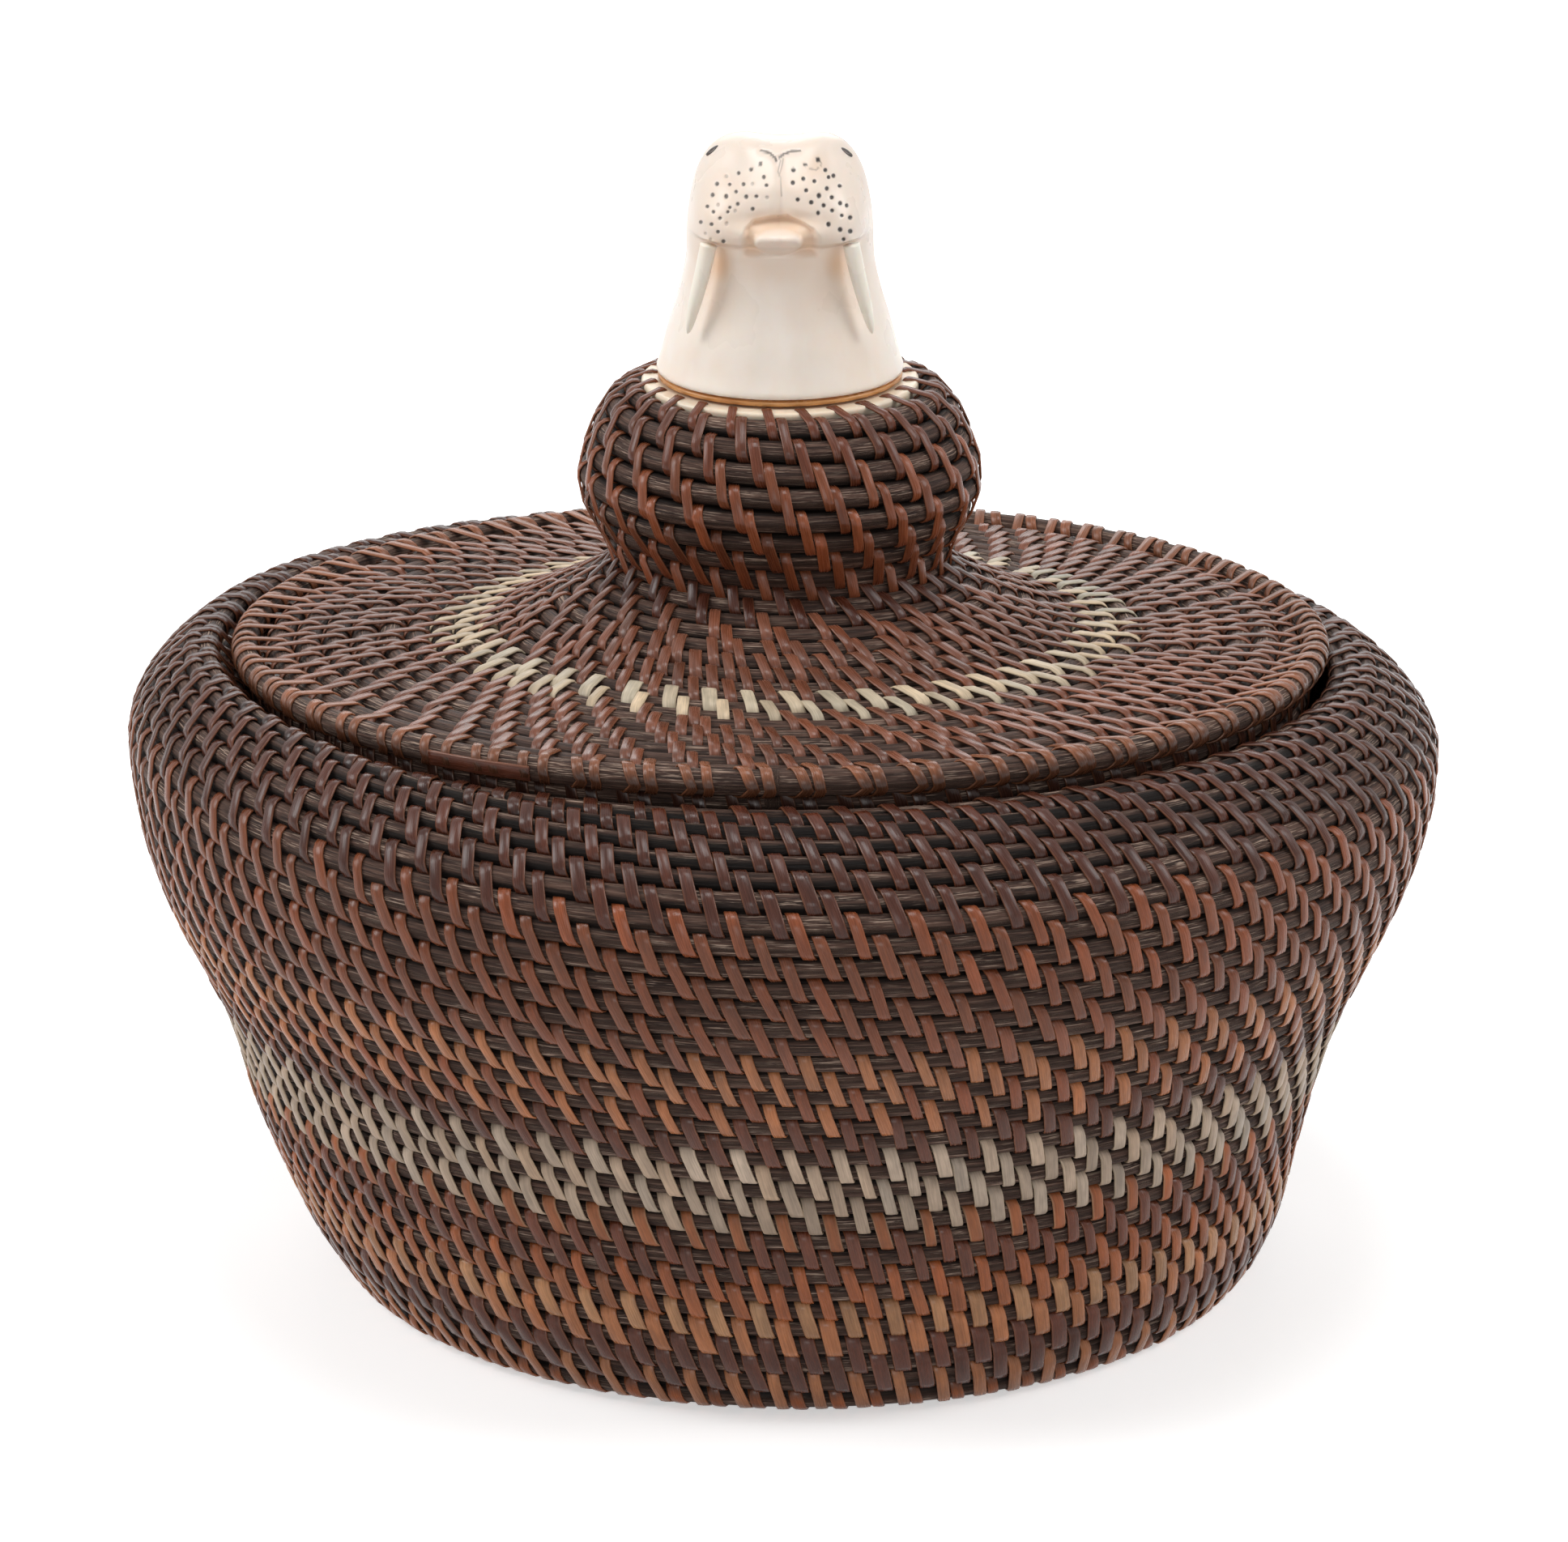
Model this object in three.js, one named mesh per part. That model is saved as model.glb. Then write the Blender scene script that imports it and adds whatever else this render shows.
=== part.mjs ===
// A coiled lidded basket with a carved walrus-head finial, in millimetres.
// +Z is up, the origin is on the table under the middle of the belly, and the walrus looks along -Y.
import * as THREE from "three";

// Driving sizes of the basket body
const bellyRadius = 76;
const bellyHeight = 60.9;
const footRadius = 53;
const shoulderInset = 13;
const shoulderRise = 11.7;
const wallThickness = 2.7;
const rodGroove = 0.85;
const baseDiscRadius = 8;
const baseDiscThickness = 1.5;
const baseDiscLift = 0.5;
const baseSplitRadius = 30;
const footLean = 2;
const sideBulge = 1.4;
const shoulderRiseLeft = 4.8;
const shoulderRiseRight = 1.4;

// Driving sizes of the lid and its knob
const lidOverhang = 0.5;
const rimRodDiameter = 3;
const lidEdgeDrop = 0.7;
const lidRise = 8.6;
const lidThickness = 2.5;
const neckRadius = 19.9;
const neckHeight = 2.3;
const knobRadius = 23.1;
const knobHeight = 18.9;
const knobTopRadius = 17;
const knobDiscThickness = 1.5;
const knobTilt = THREE.MathUtils.degToRad(4);
const flangeThickness = 2.4;
const flangeDepth = 4.8;
const flangeClearance = 1.1;

// Driving sizes of the finial
const finialHeight = 27.1;
const finialBaseRadius = 14.3;
const washerRadius = 14.7;
const washerThickness = 0.5;
const pegRadius = 2;
const pegClearance = 0.3;
const pegDepth = 8;
const pegHeadRadius = 4;
const pegHeadThickness = 1.2;
const tuskRootRadius = 0.9;
const tuskLength = 9.2;
const tuskRootHeight = 15.6;
const tuskRootAngle = THREE.MathUtils.degToRad(41);
const tuskTipAngle = THREE.MathUtils.degToRad(48);
const eyeHeight = 25.3;
const eyeAngle = THREE.MathUtils.degToRad(68);
const eyeLength = 2.1;
const eyeWidth = 1;
const eyeThickness = 0.5;
const eyeTilt = THREE.MathUtils.degToRad(42);

// Fits
const pieceGap = 0.3;
const lidSeatGap = 0.3;

// How finely round pieces are faceted
const coilSegments = 40;
const smallSegments = 32;
const headSegments = 36;
const tuskSegments = 10;
const insideStepsPerRod = 0.5;

// Finishes
const darkStrip = new THREE.Color(0x4b302c);
const russetStrip = new THREE.Color(0x6e4132);
const tanStrip = new THREE.Color(0x96694b);
const creamStrip = new THREE.Color(0xa5967f);
const ivory = new THREE.Color(0xf1e6d8);
const amber = new THREE.Color(0xc98a45);
const eyeBrown = new THREE.Color(0x3a2c25);

const basket = new THREE.Group();

const coilMaterial = (color) => new THREE.MeshStandardMaterial({ color, roughness: 0.55, metalness: 0 });
const ivoryMaterial = (color) => new THREE.MeshStandardMaterial({ color, roughness: 0.35, metalness: 0 });

const mix = (from, to, share) => from + (to - from) * share;
const hill = (value, centre, width) => Math.exp(-(((value - centre) / width) ** 2));

const mouthRadius = bellyRadius - shoulderInset;
const mouthHeight = bellyHeight + shoulderRise;

// The basket's outline from foot to mouth: heights and radii are shares of the named sizes.
const wallShares = [[0, 0], [0.026, 0.072], [0.064, 0.145], [0.146, 0.245], [0.309, 0.361],
  [0.529, 0.552], [0.741, 0.813], [0.88, 0.949], [1, 1]];
const shoulderShares = [[0.31, 0.07], [0.57, 0.25], [0.8, 0.5], [0.96, 0.75], [1, 1]];
const wallCurve = new THREE.SplineCurve([
  ...wallShares.map(([up, out]) =>
    new THREE.Vector2(mix(footRadius, bellyRadius, out), mix(0, bellyHeight, up))),
  ...shoulderShares.map(([up, inward]) =>
    new THREE.Vector2(mix(bellyRadius, mouthRadius, inward), mix(bellyHeight, mouthHeight, up))),
]);
const spanSampleCount = 20;
wallCurve.arcLengthDivisions = spanSampleCount * (wallCurve.points.length - 1);

// The narrowest inside radius of the wall over its last rods, where the lid's flange goes in.
function mouthBore() {
  const lastShare = 0.15;
  const samples = 12;
  let bore = Infinity;
  for (let i = 0; i <= samples; i += 1) {
    const along = 1 - lastShare * i / samples;
    const inside = wallCurve.getPointAt(along).x - wallCurve.getTangentAt(along).y * wallThickness;
    bore = Math.min(bore, inside);
  }
  return bore;
}

// The lid's outline, from the knob's top down its neck and out to the rim.
const lidRadius = mouthRadius + lidOverhang;
const rimBottom = mouthHeight + lidSeatGap;
const lidEdgeHeight = rimBottom + rimRodDiameter - lidEdgeDrop;
const lidEdgeRadius = lidRadius - rimRodDiameter - pieceGap;
const neckBottom = lidEdgeHeight + lidRise;
const knobBottom = neckBottom + neckHeight;
const knobTop = knobBottom + knobHeight;
const knobShares = [[1, 0], [0.84, 0.54], [0.56, 0.92], [0.38, 1]];
const knobUnderShares = [[0.2, 0.66], [0.07, 0.22]];
const lidShares = [[0.03, 0.915], [0.125, 0.67], [0.224, 0.44], [0.322, 0.25], [0.445, 0.13],
  [0.568, 0.07], [0.8, 0.03], [1, 0]];
const lidCurve = new THREE.SplineCurve([
  ...knobShares.map(([up, out]) =>
    new THREE.Vector2(mix(knobTopRadius, knobRadius, out), mix(knobBottom, knobTop, up))),
  ...knobUnderShares.map(([up, out]) =>
    new THREE.Vector2(mix(neckRadius, knobRadius, out), mix(knobBottom, knobTop, up))),
  new THREE.Vector2(neckRadius, mix(neckBottom, knobBottom, 0.6)),
  ...lidShares.map(([out, up]) =>
    new THREE.Vector2(mix(neckRadius, lidEdgeRadius, out), mix(lidEdgeHeight, neckBottom, up))),
]);

// Handmade unevenness of the body: the foot stands a little to +X of the belly, the -X side bulges low down,
// and the shoulder stands higher to the left, right and back than in front.
const bulgeShares = { height: 0.34, spread: 0.16 };
const riseShares = { from: 0.755, to: 1.117, mouthSide: 1.013, outside: 1.075 };

function settleBody(geometry) {
  const place = geometry.attributes.position;
  for (let i = 0; i < place.count; i += 1) {
    const [x, y, z] = [place.getX(i), place.getY(i), place.getZ(i)];
    const radius = Math.max(Math.hypot(x, y), pieceGap);
    const sideways = (x / radius) ** 2;
    const below = Math.max(0, 1 - z / bellyHeight);
    const low = hill(z / bellyHeight, bulgeShares.height, bulgeShares.spread);
    const bulge = x < 0 ? sideBulge * sideways * low : 0;
    const rise = y > 0
      ? mix(shoulderRiseLeft, shoulderRiseRight, (1 + x / radius) / 2)
      : sideways * (x < 0 ? shoulderRiseLeft : shoulderRiseRight);
    const risen = THREE.MathUtils.smoothstep(z / bellyHeight, riseShares.from, riseShares.to)
      * (z < bellyHeight ? 1
        : THREE.MathUtils.smoothstep(radius / mouthRadius, riseShares.mouthSide, riseShares.outside));
    place.setX(i, x + footLean * below ** 3 - bulge);
    place.setZ(i, z + rise * risen);
  }
  return geometry;
}

// The knob nods towards the viewer.
function settleLid(geometry) {
  const place = geometry.attributes.position;
  for (let i = 0; i < place.count; i += 1) {
    const nod = THREE.MathUtils.smoothstep(place.getZ(i), neckBottom, knobTop);
    place.setZ(i, place.getZ(i) + Math.tan(knobTilt) * nod * place.getY(i));
  }
  return geometry;
}

// A ring or disc turned about +Z from a closed profile of radius and height.
function turned(profile, segments) {
  const geometry = new THREE.LatheGeometry(profile, segments);
  geometry.rotateX(Math.PI / 2);
  return geometry;
}

function addPiece(group, name, geometry, material) {
  const mesh = new THREE.Mesh(geometry, material);
  mesh.name = name;
  group.add(mesh);
  return mesh;
}

// One run of coil: a stretch of an outline from one rod on, given the wall's thickness.
// Each rod stands out as a ridge, and the outline runs along the ridges. Its two free ends have no groove.
// side is 1 where the wall lies to the left of the outline's direction, and -1 to its right.
function coilProfile(curve, rodShares, allRods, rod, rods, thickness, side) {
  const margin = pieceGap / 2 / curve.getLength();
  const along = (count) => {
    const share = shareAt(rodShares, (rod + count) / allRods);
    if (count === 0 && share > 0) return share + margin;
    return count === rods && share < 1 ? share - margin : share;
  };
  const inward = (count, depth) => {
    const tangent = curve.getTangentAt(along(count));
    const normal = new THREE.Vector2(-tangent.y * side, tangent.x * side);
    return curve.getPointAt(along(count)).addScaledVector(normal, depth);
  };
  const outer = [];
  for (let i = 0; i <= 2 * rods; i += 1) {
    const freeEnd = along(i / 2) <= 0 || along(i / 2) >= 1;
    outer.push(inward(i / 2, i % 2 === 0 && !freeEnd ? rodGroove : 0));
  }
  const steps = Math.ceil(rods * insideStepsPerRod);
  const inner = [];
  for (let i = steps; i >= 0; i -= 1) inner.push(inward(rods * i / steps, thickness));
  const profile = [...outer, ...inner, outer[0].clone()];
  return side > 0 ? profile : profile.reverse();
}

// The wall's coil runs, from the foot up: name, number of rods and colour of the binding strips.
const wallRuns = [
  ["foot_coil", 2, tanStrip],
  ["wide_dark_coil", 2, darkStrip],
  ["wide_light_coil", 2, tanStrip],
  ["lower_russet_coil", 2, russetStrip],
  ["lower_dark_coil", 2, darkStrip],
  ["cream_coil", 5, creamStrip],
  ["waist_dark_coil", 2, darkStrip],
  ["upper_tan_coil", 4, tanStrip],
  ["belly_coil", 7, russetStrip],
  ["shoulder_coil", 6, darkStrip],
  ["mouth_coil", 1, russetStrip],
];

// Where a rod ends on an outline: pairs of the share of the rods passed and the share of the outline's length.
function shareAt(pairs, passed) {
  const found = pairs.findIndex(([rodShare]) => rodShare >= passed);
  const after = found < 0 ? pairs.length - 1 : Math.max(1, found);
  const [[fromRod, fromShare], [toRod, toShare]] = [pairs[after - 1], pairs[after]];
  return Math.min(1, mix(fromShare, toShare, (passed - fromRod) / (toRod - fromRod)));
}

// The rods are thickest at the foot and the belly.
const wallRodShares = [[0, 0], [0.014, 0.018], [0.1, 0.128], [0.214, 0.248], [0.357, 0.387], [0.5, 0.522],
  [0.643, 0.662], [0.757, 0.777], [0.843, 0.861], [0.957, 0.966], [1, 1]];

const countRods = (runs) => runs.reduce((sum, [, rods]) => sum + rods, 0);

function buildWall() {
  let rod = 0;
  for (const [name, rods, color] of wallRuns) {
    const profile = coilProfile(wallCurve, wallRodShares, countRods(wallRuns), rod, rods, wallThickness, 1);
    addPiece(basket, name, settleBody(turned(profile, coilSegments)), coilMaterial(color));
    rod += rods;
  }
}

// The base is coiled flat round a small starter disc, and ends along the foot's first rod.
function buildBase() {
  const foot = wallCurve.getPointAt(0);
  const slope = wallCurve.getTangentAt(0);
  const clear = pieceGap / slope.x;
  const innerEnd = new THREE.Vector2(foot.x - slope.y * wallThickness, slope.x * wallThickness);
  const floorTop = innerEnd.y;
  const splitIn = baseSplitRadius - pieceGap / 2;
  const splitOut = baseSplitRadius + pieceGap / 2;
  const hole = baseDiscRadius + pieceGap;
  const innerRun = [[hole, 0], [splitIn, 0], [splitIn, floorTop], [hole, floorTop], [hole, 0]];
  const outerRun = [[splitOut, 0], [foot.x - clear, 0], [innerEnd.x - clear, floorTop],
    [splitOut, floorTop], [splitOut, 0]];
  const discTop = baseDiscLift + baseDiscThickness;
  const disc = [[0, baseDiscLift], [baseDiscRadius, baseDiscLift], [baseDiscRadius, discTop], [0, discTop]];
  const points = (pairs) => pairs.map(([x, y]) => new THREE.Vector2(x, y));
  addPiece(basket, "base_starter_disc", settleBody(turned(points(disc), smallSegments)), ivoryMaterial(ivory));
  addPiece(basket, "base_inner_coil", settleBody(turned(points(innerRun), coilSegments)),
    coilMaterial(russetStrip));
  addPiece(basket, "base_outer_coil", settleBody(turned(points(outerRun), coilSegments)),
    coilMaterial(darkStrip));
}

// The lid's coil runs, from the knob's top down and out: name, number of rods, colour, facets.
const lidRuns = [
  ["knob_upper_coil", 4, darkStrip, smallSegments],
  ["knob_lower_coil", 4, russetStrip, smallSegments],
  ["knob_neck_coil", 2, russetStrip, smallSegments],
  ["lid_inner_coil", 6, russetStrip, coilSegments],
  ["lid_cream_coil", 2, creamStrip, coilSegments],
  ["lid_outer_coil", 7, russetStrip, coilSegments],
];

// The knob's rods are thick, the ones round the neck thin, and the outermost the thickest.
const lidRodShares = [[0, 0], [0.16, 0.18], [0.24, 0.275], [0.32, 0.34], [0.4, 0.39], [0.48, 0.455],
  [0.64, 0.595], [0.72, 0.672], [0.8, 0.759], [0.88, 0.854], [1, 1]];

function buildLid() {
  let rod = 0;
  for (const [name, rods, color, segments] of lidRuns) {
    const profile = coilProfile(lidCurve, lidRodShares, countRods(lidRuns), rod, rods, lidThickness, -1);
    addPiece(basket, name, settleLid(turned(profile, segments)), coilMaterial(color));
    rod += rods;
  }
  buildRim();
  buildFlange();
}

// The rim is one thicker rod: its section is an octagon that lies flat on the mouth.
function buildRim() {
  const sides = 8;
  const middle = new THREE.Vector2(lidRadius - rimRodDiameter / 2, rimBottom + rimRodDiameter / 2);
  const corner = rimRodDiameter / 2 / Math.cos(Math.PI / sides);
  const profile = [];
  for (let i = 0; i <= sides; i += 1) {
    const turn = (i % sides + 0.5) * 2 * Math.PI / sides;
    profile.push(new THREE.Vector2(middle.x + corner * Math.cos(turn), middle.y + corner * Math.sin(turn)));
  }
  addPiece(basket, "lid_rim_coil", turned(profile, coilSegments), coilMaterial(tanStrip));
}

// Inside the mouth a short ring of coil under the lid keeps it from sliding off.
function buildFlange() {
  const outer = mouthBore() - flangeClearance;
  const inner = outer - flangeThickness;
  const top = lidEdgeHeight - lidThickness - pieceGap;
  const bottom = top - flangeDepth;
  const profile = [[inner, bottom], [outer, bottom], [outer, top], [inner, top], [inner, bottom]]
    .map(([x, y]) => new THREE.Vector2(x, y));
  addPiece(basket, "lid_flange_coil", turned(profile, coilSegments), coilMaterial(russetStrip));
}

// Everything on top of the knob stands on its nodding upper face.
const finial = new THREE.Group();
finial.position.z = knobTop;
finial.rotation.x = knobTilt;

// The ivory starter disc of the knob, its edge bevelled like the end of the coil round it.
function buildKnobDisc() {
  const slope = lidCurve.getTangentAt(0);
  const bevel = knobDiscThickness * Math.abs(slope.y / slope.x);
  const edge = knobTopRadius - pieceGap / Math.abs(slope.x);
  const hole = pegRadius + pegClearance;
  const profile = [[hole, -knobDiscThickness], [edge - bevel, -knobDiscThickness], [edge, 0], [hole, 0],
    [hole, -knobDiscThickness]].map(([x, y]) => new THREE.Vector2(x, y));
  addPiece(finial, "knob_starter_disc", turned(profile, smallSegments), ivoryMaterial(ivory));
}

const washerBottom = pieceGap;
const finialBottom = washerBottom + washerThickness + pieceGap;

function buildWasher() {
  const hole = pegRadius + pegClearance;
  const top = washerBottom + washerThickness;
  const profile = [[hole, washerBottom], [washerRadius, washerBottom], [washerRadius, top], [hole, top],
    [hole, washerBottom]].map(([x, y]) => new THREE.Vector2(x, y));
  addPiece(finial, "finial_washer", turned(profile, smallSegments), ivoryMaterial(amber));
}

// A peg with a head under the disc holds the finial down.
function buildPeg() {
  const headTop = -knobDiscThickness - pieceGap;
  const headBottom = headTop - pegHeadThickness;
  const top = finialBottom + pegDepth - pegClearance;
  const profile = [[0, headBottom], [pegHeadRadius, headBottom], [pegHeadRadius, headTop],
    [pegRadius, headTop], [pegRadius, top], [0, top]].map(([x, y]) => new THREE.Vector2(x, y));
  addPiece(finial, "finial_peg", turned(profile, tuskSegments), ivoryMaterial(ivory));
}

// The carved head: its side outline as shares of the finial's height and base radius.
const headShares = [[0, 1], [0.07, 0.955], [0.21, 0.885], [0.35, 0.805], [0.48, 0.752], [0.63, 0.737],
  [0.77, 0.702], [0.88, 0.645], [0.95, 0.565], [0.985, 0.45]];
const headOutline = new THREE.SplineCurve(headShares.map(([up, out]) => new THREE.Vector2(up, out)));

function sideRadius(height) {
  const share = THREE.MathUtils.clamp(height / finialHeight, 0, headShares[headShares.length - 1][0]);
  let low = 0;
  let high = 1;
  for (let i = 0; i < 24; i += 1) {
    const middle = (low + high) / 2;
    if (headOutline.getPoint(middle).x < share) low = middle;
    else high = middle;
  }
  return headOutline.getPoint(low).y * finialBaseRadius;
}

const ramp = (value, from, to) => THREE.MathUtils.smoothstep(value, Math.min(from, to), Math.max(from, to));

// Places on the face are shares of the finial's height, and depths are shares of its base radius.
const padShares = { height: 0.705, rise: 0.15, angle: 0.52, spread: 0.5, depth: 0.175 };
const foldShares = { from: 0.595, to: 0.635 };
const lipShares = { height: 0.675, rise: 0.055, spread: 0.27, depth: 0.15 };
const mouthShares = { height: 0.73, rise: 0.035, spread: 0.36, depth: 0.08 };
const browShares = { from: 0.83, depth: 0.16, spread: 0.9 };

// The head's radius at an angle from the front and a height above its base.
function headRadius(angle, height) {
  const up = height / finialHeight;
  const around = Math.abs(angle);
  const fold = ramp(up, foldShares.from, foldShares.to);
  const pad = padShares.depth * hill(around, padShares.angle, padShares.spread)
    * hill(up, padShares.height, padShares.rise) * fold;
  const lip = lipShares.depth * hill(around, 0, lipShares.spread) * hill(up, lipShares.height, lipShares.rise);
  const mouth = mouthShares.depth * hill(around, 0, mouthShares.spread)
    * hill(up, mouthShares.height, mouthShares.rise);
  const brow = browShares.depth * hill(around, 0, browShares.spread) * ramp(up, browShares.from, 1);
  return sideRadius(height) + finialBaseRadius * (pad + lip - mouth - brow);
}

function buildHead() {
  const bodyRows = 20;
  const socket = pegRadius + pegClearance;
  const apex = finialHeight;
  const lastHeight = headShares[headShares.length - 1][0] * finialHeight;
  const rows = [{ flat: 0, height: pegDepth }, { flat: socket, height: pegDepth }, { flat: socket, height: 0 }];
  for (let i = 0; i <= bodyRows; i += 1) rows.push({ height: mix(0, lastHeight, i / bodyRows) });
  rows.push({ flat: 0, height: apex });
  const places = [];
  const starts = [];
  for (const row of rows) {
    starts.push(places.length / 3);
    const count = row.flat === 0 ? 1 : headSegments;
    for (let j = 0; j < count; j += 1) {
      const angle = 2 * Math.PI * j / headSegments;
      const signed = angle > Math.PI ? angle - 2 * Math.PI : angle;
      const radius = row.flat ?? headRadius(signed, row.height);
      places.push(radius * Math.sin(angle), -radius * Math.cos(angle), row.height);
    }
  }
  const faces = [];
  for (let i = 0; i + 1 < rows.length; i += 1) {
    for (let j = 0; j < headSegments; j += 1) {
      const next = (j + 1) % headSegments;
      const single = (row) => rows[row].flat === 0;
      const a = starts[i] + (single(i) ? 0 : j);
      const b = starts[i] + (single(i) ? 0 : next);
      const c = starts[i + 1] + (single(i + 1) ? 0 : next);
      const d = starts[i + 1] + (single(i + 1) ? 0 : j);
      if (a !== b) faces.push(a, b, c);
      if (c !== d) faces.push(a, c, d);
    }
  }
  const geometry = new THREE.BufferGeometry();
  geometry.setAttribute("position", new THREE.Float32BufferAttribute(places, 3));
  geometry.setIndex(faces);
  geometry.computeVertexNormals();
  const mesh = addPiece(finial, "walrus_head", geometry, ivoryMaterial(ivory));
  mesh.position.z = finialBottom;
}

// A point off the head's surface, at an angle from the front, a height and a distance out.
function besideHead(angle, height, out) {
  const radius = headRadius(angle, height) + out;
  return new THREE.Vector3(radius * Math.sin(angle), -radius * Math.cos(angle), height + finialBottom);
}

// Each tusk is a tapering peg that hangs from the fold under the muzzle, clear of the neck.
function buildTusk(name, side) {
  const clear = tuskRootRadius + pieceGap;
  const root = besideHead(side * tuskRootAngle, tuskRootHeight, clear);
  const tip = besideHead(side * tuskTipAngle, tuskRootHeight - tuskLength, clear);
  const axis = tip.clone().sub(root);
  const length = axis.length();
  const taperShares = [[0, 0], [1, 0], [0.96, 0.3], [0.82, 0.6], [0.55, 0.85], [0.25, 0.97], [0, 1]];
  const profile = taperShares.map(([out, down]) => new THREE.Vector2(out * tuskRootRadius, -down * length));
  const geometry = new THREE.LatheGeometry(profile.reverse(), tuskSegments);
  const mesh = addPiece(finial, name, geometry, ivoryMaterial(ivory));
  mesh.quaternion.setFromUnitVectors(new THREE.Vector3(0, -1, 0), axis.normalize());
  mesh.position.copy(root);
}

// Each eye is a thin almond laid on the head, square to its surface.
function buildEye(name, side) {
  const centre = besideHead(side * eyeAngle, eyeHeight, eyeThickness / 2 + pieceGap);
  const stepAround = besideHead(side * (eyeAngle + eyeWidth / finialBaseRadius), eyeHeight, eyeThickness);
  const stepUp = besideHead(side * eyeAngle, eyeHeight + eyeThickness, eyeThickness);
  const around = stepAround.sub(besideHead(side * eyeAngle, eyeHeight, eyeThickness)).normalize();
  const up = stepUp.sub(besideHead(side * eyeAngle, eyeHeight, eyeThickness)).normalize();
  const outward = around.clone().cross(up).multiplyScalar(side).normalize();
  const profileShares = [[0, -0.5], [0.5, -0.3], [0.5, 0.1], [0.3, 0.4], [0, 0.5]];
  const profile = profileShares.map(([out, along]) => new THREE.Vector2(out, along));
  const geometry = new THREE.LatheGeometry(profile, tuskSegments);
  geometry.scale(eyeLength, eyeThickness, eyeWidth);
  const mesh = addPiece(finial, name, geometry, ivoryMaterial(eyeBrown));
  const across = outward.clone().cross(up).normalize();
  const basis = new THREE.Matrix4().makeBasis(across, outward, across.clone().cross(outward));
  mesh.quaternion.setFromRotationMatrix(basis);
  mesh.rotateOnAxis(new THREE.Vector3(0, 1, 0), side * eyeTilt);
  mesh.position.copy(centre);
}

buildBase();
buildWall();
buildLid();
buildKnobDisc();
buildWasher();
buildPeg();
buildHead();
buildTusk("left_tusk", -1);
buildTusk("right_tusk", 1);
buildEye("left_eye", -1);
buildEye("right_eye", 1);
basket.add(finial);

export default basket;
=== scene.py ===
import math
from collections import deque

import bpy
import numpy as np
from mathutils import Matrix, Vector


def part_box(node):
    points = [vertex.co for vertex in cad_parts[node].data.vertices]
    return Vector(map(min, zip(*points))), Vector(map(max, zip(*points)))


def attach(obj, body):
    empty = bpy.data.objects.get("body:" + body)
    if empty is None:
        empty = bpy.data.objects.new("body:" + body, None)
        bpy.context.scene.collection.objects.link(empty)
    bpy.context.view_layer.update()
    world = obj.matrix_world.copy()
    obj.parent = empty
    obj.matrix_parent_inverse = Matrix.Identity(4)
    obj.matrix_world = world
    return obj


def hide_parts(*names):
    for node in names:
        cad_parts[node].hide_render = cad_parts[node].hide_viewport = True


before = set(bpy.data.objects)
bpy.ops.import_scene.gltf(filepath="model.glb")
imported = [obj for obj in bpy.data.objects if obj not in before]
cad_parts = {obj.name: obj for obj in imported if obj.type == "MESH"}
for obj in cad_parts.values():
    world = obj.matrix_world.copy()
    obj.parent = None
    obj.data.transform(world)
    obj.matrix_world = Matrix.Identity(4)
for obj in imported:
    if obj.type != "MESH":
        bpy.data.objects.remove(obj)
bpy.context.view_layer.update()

MM = 0.001
TURN = 2 * math.pi
SEED = 20

# Sizes of the basket body in millimetres, the same as the solids have
BELLY_RADIUS = 76
BELLY_HEIGHT = 60.9
FOOT_RADIUS = 53
MOUTH_RADIUS = BELLY_RADIUS - 13
MOUTH_HEIGHT = BELLY_HEIGHT + 11.7
FOOT_LEAN = 2
SIDE_BULGE = 1.4
SHOULDER_RISE_LEFT = 4.8
SHOULDER_RISE_RIGHT = 1.4
BASE_DISC_RADIUS = 8
BASE_DISC_LIFT = 0.5
BASE_DISC_THICKNESS = 1.5
BASE_SPLIT_RADIUS = 30

# Sizes of the lid, the knob and the finial
RIM_ROD = 3
LID_EDGE_DROP = 0.7
LID_SEAT_GAP = 0.3
LID_RADIUS = MOUTH_RADIUS + 0.5
RIM_BOTTOM = MOUTH_HEIGHT + LID_SEAT_GAP
LID_EDGE_HEIGHT = RIM_BOTTOM + RIM_ROD - LID_EDGE_DROP
LID_EDGE_RADIUS = LID_RADIUS - RIM_ROD - 0.3
NECK_RADIUS = 19.9
NECK_BOTTOM = LID_EDGE_HEIGHT + 8.6
KNOB_BOTTOM = NECK_BOTTOM + 2.3
KNOB_RADIUS = 23.1
KNOB_TOP = KNOB_BOTTOM + 18.9
KNOB_TOP_RADIUS = 17
KNOB_DISC = 1.5
KNOB_TILT = math.radians(4)
LID_SHIFT = -0.45
FINIAL_HEIGHT = 27.1
FINIAL_BASE_RADIUS = 14.3
FINIAL_BOTTOM = 1.1
WASHER_RADIUS = 14.0
WASHER_BOTTOM = 0.3
WASHER_THICKNESS = 0.5
TUSK_ROOT_HEIGHT = 15.6
TUSK_LENGTH = 9.2
TUSK_ROOT_ANGLE = math.radians(41)
TUSK_TIP_ANGLE = math.radians(48)
TUSK_ROOT_RADIUS = 0.9
PEG_RADIUS = 2
PEG_BORE = 2.3
PEG_DEPTH = 8
PEG_HEAD_RADIUS = 4
PEG_HEAD_THICKNESS = 1.2
EYE_LENGTH = 2.1
EYE_WIDTH = 1.0
EYE_RISE = 0.22
EYE_DEPTH = 0.25

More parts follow.
